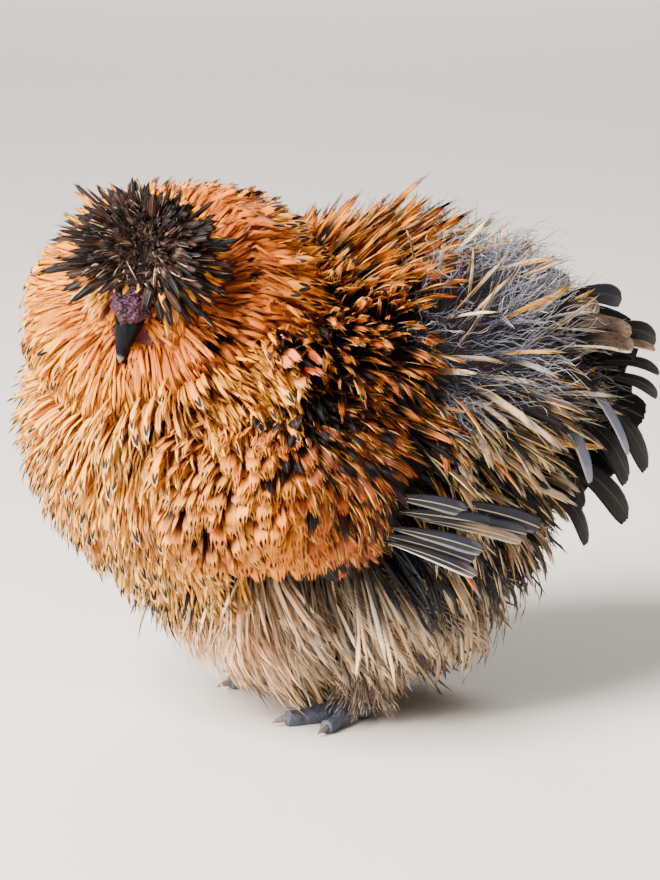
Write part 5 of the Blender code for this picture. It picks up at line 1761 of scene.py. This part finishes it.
def build_skin():
    """The whole skin, just under the roots of the coat."""
    inner = [rounded(BODY_CENTRE, None, subdivisions=6, shape=lambda d: body_radius(d) - BODY_DEPTH),
             rounded(RUFF_CENTRE, np.array(RUFF_RADII) - RUFF_DEPTH, subdivisions=5),
             rounded(TAIL_CENTRE, TAIL_RADII, subdivisions=4)]
    for side in SIDES.values():
        mirror = np.array((side, 1.0, 1.0))
        points, faces = rounded(WING_CENTRE, np.array(WING_RADII) - WING_DEPTH, subdivisions=5)
        inner.append((points * mirror, faces if side > 0 else faces[:, ::-1]))
    skin = melt("skin", inner, BODY_VOXEL, 6)
    head = melt("head_part", face_parts(), HEAD_VOXEL, 3)
    feet = [melt("foot_part", foot_parts(side), FOOT_VOXEL, 2) for side in SIDES.values()]
    for foot in feet:
        flatten_soles(foot)
    return merge(skin, head, *feet)


skin = build_skin()
skin_points = vertex_places(skin)
local = head_local(skin_points)
face_share = np.exp(-(np.linalg.norm(local / (0.03, 0.04, 0.03), axis=1)) ** 6)
face_share *= 1.0 - ease(local[:, 2] - 0.5 * local[:, 1], 0.002, 0.008)
face_share *= ease(local[:, 1], -0.002, 0.005)
leg_share = ((SHANK_TOP - skin_points[:, 2]) / 0.006).clip(0.0, 1.0)
store(skin, "zones", np.stack([face_share, leg_share, np.zeros(len(local))], axis=1))
print("skin vertices", len(skin_points))

# %% [markdown]
# A silkie's skin is dark: plum red on the face, slate on the legs, and nearly black here under the coat, so
# that nothing pale shines through. The legs' scales are too small to model, so a cell pattern makes them as
# bump.

# %% Skin finish
def cells(n, vector, scale, feature="F1"):
    node = n.add("ShaderNodeTexVoronoi", feature=feature)
    n.wire(vector, node.inputs["Vector"])
    node.inputs["Scale"].default_value = scale
    return node.outputs["Distance"]


def skin_material():
    material, n, shader = simple_material("skin_and_down", 0.65, 0.3)
    place = n.add("ShaderNodeTexCoord").outputs["Object"]
    face, leg, _ = n.separate(n.attribute("zones"))
    mottle = n.noise(place, 120.0, 4.0, 0.6)
    down = n.mix(n.ramp(mottle, 0.3, 0.7), rgba(UMBER * 0.7), rgba(CHARCOAL * 0.8))
    blush = n.ramp(n.noise(place, 420.0, 4.0), 0.3, 0.7)
    plum = n.mix(blush, rgba(screen(60, 8, 14)), rgba(screen(104, 20, 28)))
    bloom = n.ramp(n.noise(place, 300.0, 3.0), 0.3, 0.7)
    slate = n.mix(bloom, rgba(screen(62, 66, 80)), rgba(screen(88, 90, 104)))
    colour = n.mix(leg, n.mix(face, down, plum), slate)
    n.wire(colour, shader.inputs["Base Color"])
    scales = n.times(cells(n, place, 420.0, "DISTANCE_TO_EDGE"), 1.6, clamp=True)
    wrinkles = n.noise(place, 900.0, 3.0)
    height = n.plus(n.times(scales, leg), n.times(wrinkles, 0.5))
    bumped(n, shader, height, 0.6, 0.0006)
    return material


adopt(skin, skin_material(), "face_skin", "torso", "neck", "wing_left", "wing_right", "tail", "crest", "head",
      "leg_left", "leg_right", "wattle_left", "wattle_right")

# %% [markdown]
# The walnut comb is folded into worm-like wrinkles. Bump would leave its outline smooth, so they are real
# relief: a wave in a direction that keeps changing is pushed through the surface, and its crests wind about
# and meet.

# %% Comb
COMB_CENTRE = (0.0, 0.0175, 0.0088)
COMB_RADII = (0.0078, 0.0088, 0.0052)
FOLD_PERIOD = 0.004
FOLD_HEIGHT = 0.0009


def winding(points, period):
    """A wave from -1 to 1 whose crests wind like folds of skin."""
    q = points * (0.5, 1.0, 1.0) * (2.0 * math.pi / period)
    warp = np.stack([np.sin(0.9 * q[:, 1] + 1.3 * np.sin(0.7 * q[:, 2])), np.sin(1.1 * q[:, 2] + 1.7),
                     np.sin(0.8 * q[:, 0] + 0.4)], axis=1)
    r = q + 1.9 * warp
    s, c = np.sin(r), np.cos(r)
    return s[:, 0] * c[:, 1] + s[:, 1] * c[:, 2] + s[:, 2] * c[:, 0]


def build_comb():
    rng = np.random.default_rng(2)
    parts = [rounded(head_point(*COMB_CENTRE), COMB_RADII, HEAD_AXES, 4)]
    for direction in even_directions(16):
        if direction[2] > -0.25:
            place = direction * COMB_RADII * 0.82
            size = rng.uniform(0.0024, 0.0032)
            parts.append(rounded(head_point(*(place + COMB_CENTRE)), (size,) * 3, HEAD_AXES, 3))
    comb = melt("comb_folds", parts, 0.00032, 3)
    places = vertex_places(comb)
    normals = np.empty(3 * len(places), np.float32)
    comb.data.vertices.foreach_get("normal", normals)
    folds = np.abs(winding(head_local(places), FOLD_PERIOD)) ** 0.6
    store(comb, "fold", np.repeat(folds[:, None], 3, axis=1))
    move_vertices(comb, places + normals.reshape(-1, 3) * ((folds - 0.75) * FOLD_HEIGHT)[:, None])
    return comb


def comb_material():
    material, n, shader = simple_material("comb_skin", 0.44, 0.25)
    place = n.add("ShaderNodeTexCoord").outputs["Object"]
    fold, _, _ = n.separate(n.attribute("fold"))
    # The grooves between the folds are painted near black as their shade, the ridges a lighter plum.
    colour = n.mix(n.ramp(fold, 0.35, 1.0), rgba(screen(4, 1, 4)), rgba(screen(60, 22, 44)))
    colour = n.mix(n.ramp(n.noise(place, 260.0, 3.0), 0.45, 0.7, 0.0, 0.6), colour, rgba(screen(66, 18, 38)))
    n.wire(colour, shader.inputs["Base Color"])
    bumped(n, shader, n.noise(place, 2200.0, 2.0), 0.3, 0.0002)
    set_inputs(shader, Coat_Weight=0.06, Coat_Roughness=0.2)
    return material


comb = build_comb()
adopt(comb, comb_material(), "comb_skin", "comb")

# %% [markdown]
# The bill is a short horn cone with a hooked tip, a pit for each nostril and a lower bill that shows the
# mouth line. It could be sculpted, but a tube through oval rings is quicker to correct.

# %% Bill
UPPER_BILL = (
    (0.012, 0.0005, 0.007, 0.0054), (0.02, 0.0005, 0.0068, 0.005), (0.028, -0.0006, 0.0054, 0.0042),
    (0.0345, -0.0026, 0.0037, 0.0031), (0.0398, -0.0052, 0.002, 0.002), (0.0428, -0.0082, 0.0004, 0.0005),
)
LOWER_BILL = (
    (0.011, -0.0066, 0.0052, 0.0032), (0.02, -0.0064, 0.0048, 0.003), (0.0275, -0.0064, 0.0037, 0.0024),
    (0.0335, -0.007, 0.0023, 0.0016), (0.0378, -0.0084, 0.0004, 0.0004),
)
NOSTRIL = (0.005, 0.0232, 0.0022)
NOSTRIL_SIZE = (0.003, 0.0022, 0.0011)
BILL_HALF_WIDTH = 0.006


def build_bill(name, rows, nostrils):
    rows = np.array(rows)
    sections = []
    for ahead in np.linspace(rows[0, 0], rows[-1, 0], 40):
        up, width, height = (np.interp(ahead, rows[:, 0], rows[:, k]) for k in (1, 2, 3))
        centre = np.array(head_point(0.0, ahead, up))
        sections.append((centre, HEAD_ARRAY[:, 0] * width, HEAD_ARRAY[:, 2] * height))
    points, faces = tube(sections, 40)
    local = head_local(points)
    for side in SIDES.values() if nostrils else ():
        from_pit = (local - (side * NOSTRIL[0], NOSTRIL[1], NOSTRIL[2])) / NOSTRIL_SIZE
        local[:, 0] -= side * 0.0016 * np.exp(-(from_pit ** 2).sum(axis=1))
    return mesh_piece(name, to_head(local), faces)


def bill_material():
    material, n, shader = simple_material("bill_horn", 0.3, 0.07)
    place = n.add("ShaderNodeTexCoord").outputs["Object"]
    share = n.attribute("length_share")
    length, across, _ = n.separate(share)
    grain = n.noise(n.combine(n.times(length, 3.0), n.times(across, 9.0), 0.0), 1.6, 3.0)
    colour = n.mix(n.ramp(grain, 0.42, 0.62), rgba(screen(1, 2, 4)), rgba(screen(10, 15, 26)))
    colour = n.mix(n.ramp(length, 0.88, 1.0, 0.0, 0.75), colour, rgba(screen(206, 200, 190)))
    n.wire(colour, shader.inputs["Base Color"])
    bumped(n, shader, n.noise(place, 900.0, 2.0), 0.15, 0.0002)
    set_inputs(shader, Coat_Weight=0.04, Coat_Roughness=0.1)
    return material


BILL_HORN = bill_material()
for name, rows, node in (("bill_top", UPPER_BILL, "bill_upper"), ("bill_bottom", LOWER_BILL, "bill_lower")):
    piece = build_bill(name, rows, node == "bill_upper")
    local = head_local(vertex_places(piece))
    share = (local[:, 1] - rows[0][0]) / (rows[-1][0] - rows[0][0])
    across, height = local[:, 0] / BILL_HALF_WIDTH, local[:, 2] / BILL_HALF_WIDTH
    store(piece, "length_share", np.stack([share, across, height], axis=1))
    adopt(piece, BILL_HORN, "bill_horn", node)

# %% [markdown]
# Each eye is a dark glossy ball deep between its lids. The iris could be a second shell, but at this size a
# ring of colour is enough, found from how far a point turns away from where the eye looks.

# %% Eyes
def eye_material():
    material, n, shader = simple_material("eye_wet", 0.06, 0.6)
    centre_share, _, _ = n.separate(n.attribute("gaze"))
    colour = n.mix(n.ramp(centre_share, 0.83, 0.845), rgba(screen(52, 26, 14)), rgba(screen(5, 4, 5)))
    colour = n.mix(n.ramp(centre_share, 0.5, 0.62), rgba(screen(14, 10, 10)), colour)
    n.wire(colour, shader.inputs["Base Color"])
    set_inputs(shader, Coat_Weight=1.0, Coat_Roughness=0.03)
    return material


EYE_WET = eye_material()
for side_name, side in SIDES.items():
    centre = eye_centre(side)
    points, faces = rounded(centre, (EYE_RADIUS,) * 3, subdivisions=5)
    gaze = dot(unit(points - centre), eye_outward(side))
    piece = mesh_piece("eyeball_" + side_name, points, faces)
    store(piece, "gaze", np.repeat(gaze[:, None], 3, axis=1))
    adopt(piece, EYE_WET, "eye", "eye_" + side_name)

# %% [markdown]
# Short feathers cover the back of the head, a pale tuft stands on each cheek, and fine plumes run down the
# legs. They are bowed lines from root to tip, since they needn't follow a form.

# %% Feathers of head and legs
def line_feathers(name, roots, tips, facing, sags, widths, shapes, tints, material, seed):
    rng = np.random.default_rng(seed)
    n = len(roots)
    outward = unit(roots - roots.mean(axis=0) + 1e-6)
    unmarked = np.zeros((n, 3))
    obj = grow(name, shapes, on_line(roots, tips, sags), unit(facing), widths, outward, tints, unmarked, rng)
    adopt(obj, material, "plumage")


def cheek_feathers(side_name, side):
    """A pale tuft beside the comb and bill, its tips tinged with pink."""
    rng = np.random.default_rng(81)
    n = 110
    t = rng.random(n)
    spread = rng.normal(0.0, 0.001, (n, 3))
    local_roots = np.stack([side * (0.0075 + 0.003 * t), 0.002 + 0.011 * t, -0.004 * t], axis=1) + spread
    reach = np.stack([side * (0.72 - 0.25 * t), 0.7 + 0.25 * t, rng.uniform(-0.25, 0.15, n)], axis=1)
    local_tips = local_roots + unit(reach) * rng.uniform(0.01, 0.02, n)[:, None]
    facing = constant(HEAD_ARRAY @ np.array((side * 0.35, -0.2, 1.0)), n) + rng.normal(0.0, 0.25, (n, 3))
    ground = between(BUFF, AMBER, rng.random(n))
    tip = between(CREAM, screen(206, 140, 120), rng.random(n))
    tints = (constant(RUST, n), ground, tip)
    sags = constant(HEAD_ARRAY @ np.array((side * 0.001, 0.0, 0.002)), n)
    line_feathers("cheek_" + side_name, to_head(local_roots), to_head(local_tips), facing, sags,
                  rng.uniform(0.0008, 0.0015, n), SILK_SHAPES, tints, BODY_FEATHER, 82)


def head_feathers():
    """Short feathers over the back and sides of the head, from behind the eyes to where the ruff begins."""
    rng = np.random.default_rng(85)
    count = 1600
    local = unit(even_directions(count) + rng.normal(0.0, 0.02, (count, 3)))
    skull = local * SKULL_RADII
    near_eye = np.linalg.norm(folded(skull) - EYE_PLACE, axis=1) < 0.0062
    local = local[(local[:, 1] < 0.32) & (local[:, 2] < 0.75) & ~near_eye]
    n = len(local)
    behind = ease(-local[:, 1], -0.3, 0.4)
    lie = along_surface(np.array((0.0, -0.75, -0.65)) + rng.normal(0.0, 0.14, (n, 3)), local)
    length = (0.006 + 0.006 * behind) * rng.uniform(0.8, 1.2, n)
    roots = local * SKULL_RADII * 0.9
    tips = roots + lie * length[:, None] + local * rng.uniform(0.002, 0.004, n)[:, None]
    ground = between(ORANGE, RUST, rng.random(n))
    tip = between(AMBER, RUST, rng.random(n))
    outward = local @ HEAD_ARRAY.T
    tints = (constant(CHESTNUT, n), ground, tip)
    line_feathers("head_plumage", to_head(roots), to_head(tips), outward, outward * 0.0012,
                  rng.uniform(0.0009, 0.0015, n), SILK_SHAPES, tints, RUFF_FEATHER, 86)


def leg_feathers(side_name, side):
    rng = np.random.default_rng(91)
    n = 110
    height = rng.uniform(0.004, 0.04, n)
    angle = np.radians(rng.uniform(20.0, 125.0, n))
    out = np.stack([side * np.sin(angle), -np.cos(angle), np.zeros(n)], axis=1)
    roots = np.array((side * FOOT_SPREAD, FOOT_Y + 0.002, FLOOR)) + out * 0.003 + height[:, None] * UP
    length = rng.uniform(0.014, 0.024, n)
    tips = roots + out * length[:, None] + UP * (0.002 - 0.55 * height)[:, None]
    tips[:, 2] = tips[:, 2].clip(FLOOR + 0.002)
    facing = out * 0.5 + UP
    ground = between(TAUPE, CHARCOAL, rng.random(n))
    tints = (constant(CHARCOAL, n), ground, between(CREAM, TAUPE, rng.random(n)))
    line_feathers("leg_plumes_" + side_name, roots, tips, facing, constant(UP * 0.003, n),
                  rng.uniform(0.0022, 0.0036, n), PLUME_SHAPES, tints, LOOSE_FEATHER, 92)


head_feathers()
for side_name, side in SIDES.items():
    cheek_feathers(side_name, side)
    leg_feathers(side_name, side)

# %% [markdown]
# The claws are curved horn sheaths. The solids' shapes are right already, so they only need a horn finish.

# %% Claws
claw_horn, claw_nodes, claw_shader = simple_material("claw_horn", 0.35, 0.5)
claw_grain = claw_nodes.noise(claw_nodes.add("ShaderNodeTexCoord").outputs["Object"], 700.0, 3.0)
claw_nodes.wire(claw_nodes.mix(claw_grain, rgba(screen(64, 60, 64)), rgba(screen(150, 140, 128))),
                claw_shader.inputs["Base Color"])
for name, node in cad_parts.items():
    if name.startswith("claw"):
        node.data.materials.clear()
        node.data.materials.append(claw_horn)
        node.data.shade_smooth()
print("claws finished:", sum(name.startswith("claw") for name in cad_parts))

# %% [markdown]
# A pale floor catches the shadow. A picture of an overcast sky could light the scene, but three soft discs
# are easier to steer: one for the sky, a weak one in front and a far one behind that draws the bird's rim.

# %% Floor and light
FLOOR_SIZE = 60.0
LIGHT_TARGET = Vector((0.0, 0.0, 0.13))

bpy.ops.mesh.primitive_plane_add(size=FLOOR_SIZE, location=(0.0, 0.0, 0.0))
floor = bpy.context.object
floor.name = "floor"
floor_paint, _, floor_shader = simple_material("pale_floor", 0.85, 0.2)
set_inputs(floor_shader, Base_Color=rgba(screen(222, 214, 204)))
floor.data.materials.append(floor_paint)


def soft_light(name, place, size, power, colour):
    """A round lamp of this size in metres and power in watts, turned to the bird."""
    data = bpy.data.lights.new(name, "AREA")
    data.shape = "DISK"
    data.size = size
    data.energy = power
    data.color = colour
    light = bpy.data.objects.new(name, data)
    bpy.context.scene.collection.objects.link(light)
    light.location = place
    light.rotation_euler = (Vector(place) - LIGHT_TARGET).to_track_quat("Z", "Y").to_euler()


soft_light("sky", (0.5, -1.7, 1.85), 1.4, 290.0, (1.0, 0.985, 0.96))
soft_light("front", (0.35, -1.9, 0.5), 0.9, 60.0, (1.0, 0.97, 0.94))
soft_light("back", (-6.0, 2.8, 4.0), 3.0, 420.0, (0.97, 0.98, 1.0))
world = bpy.data.worlds.new("studio")
world.use_nodes = True
set_inputs(world.node_tree.nodes["Background"], Color=rgba(screen(232, 228, 222)), Strength=0.5)
bpy.context.scene.world = world
print("lights:", len(bpy.data.lights))
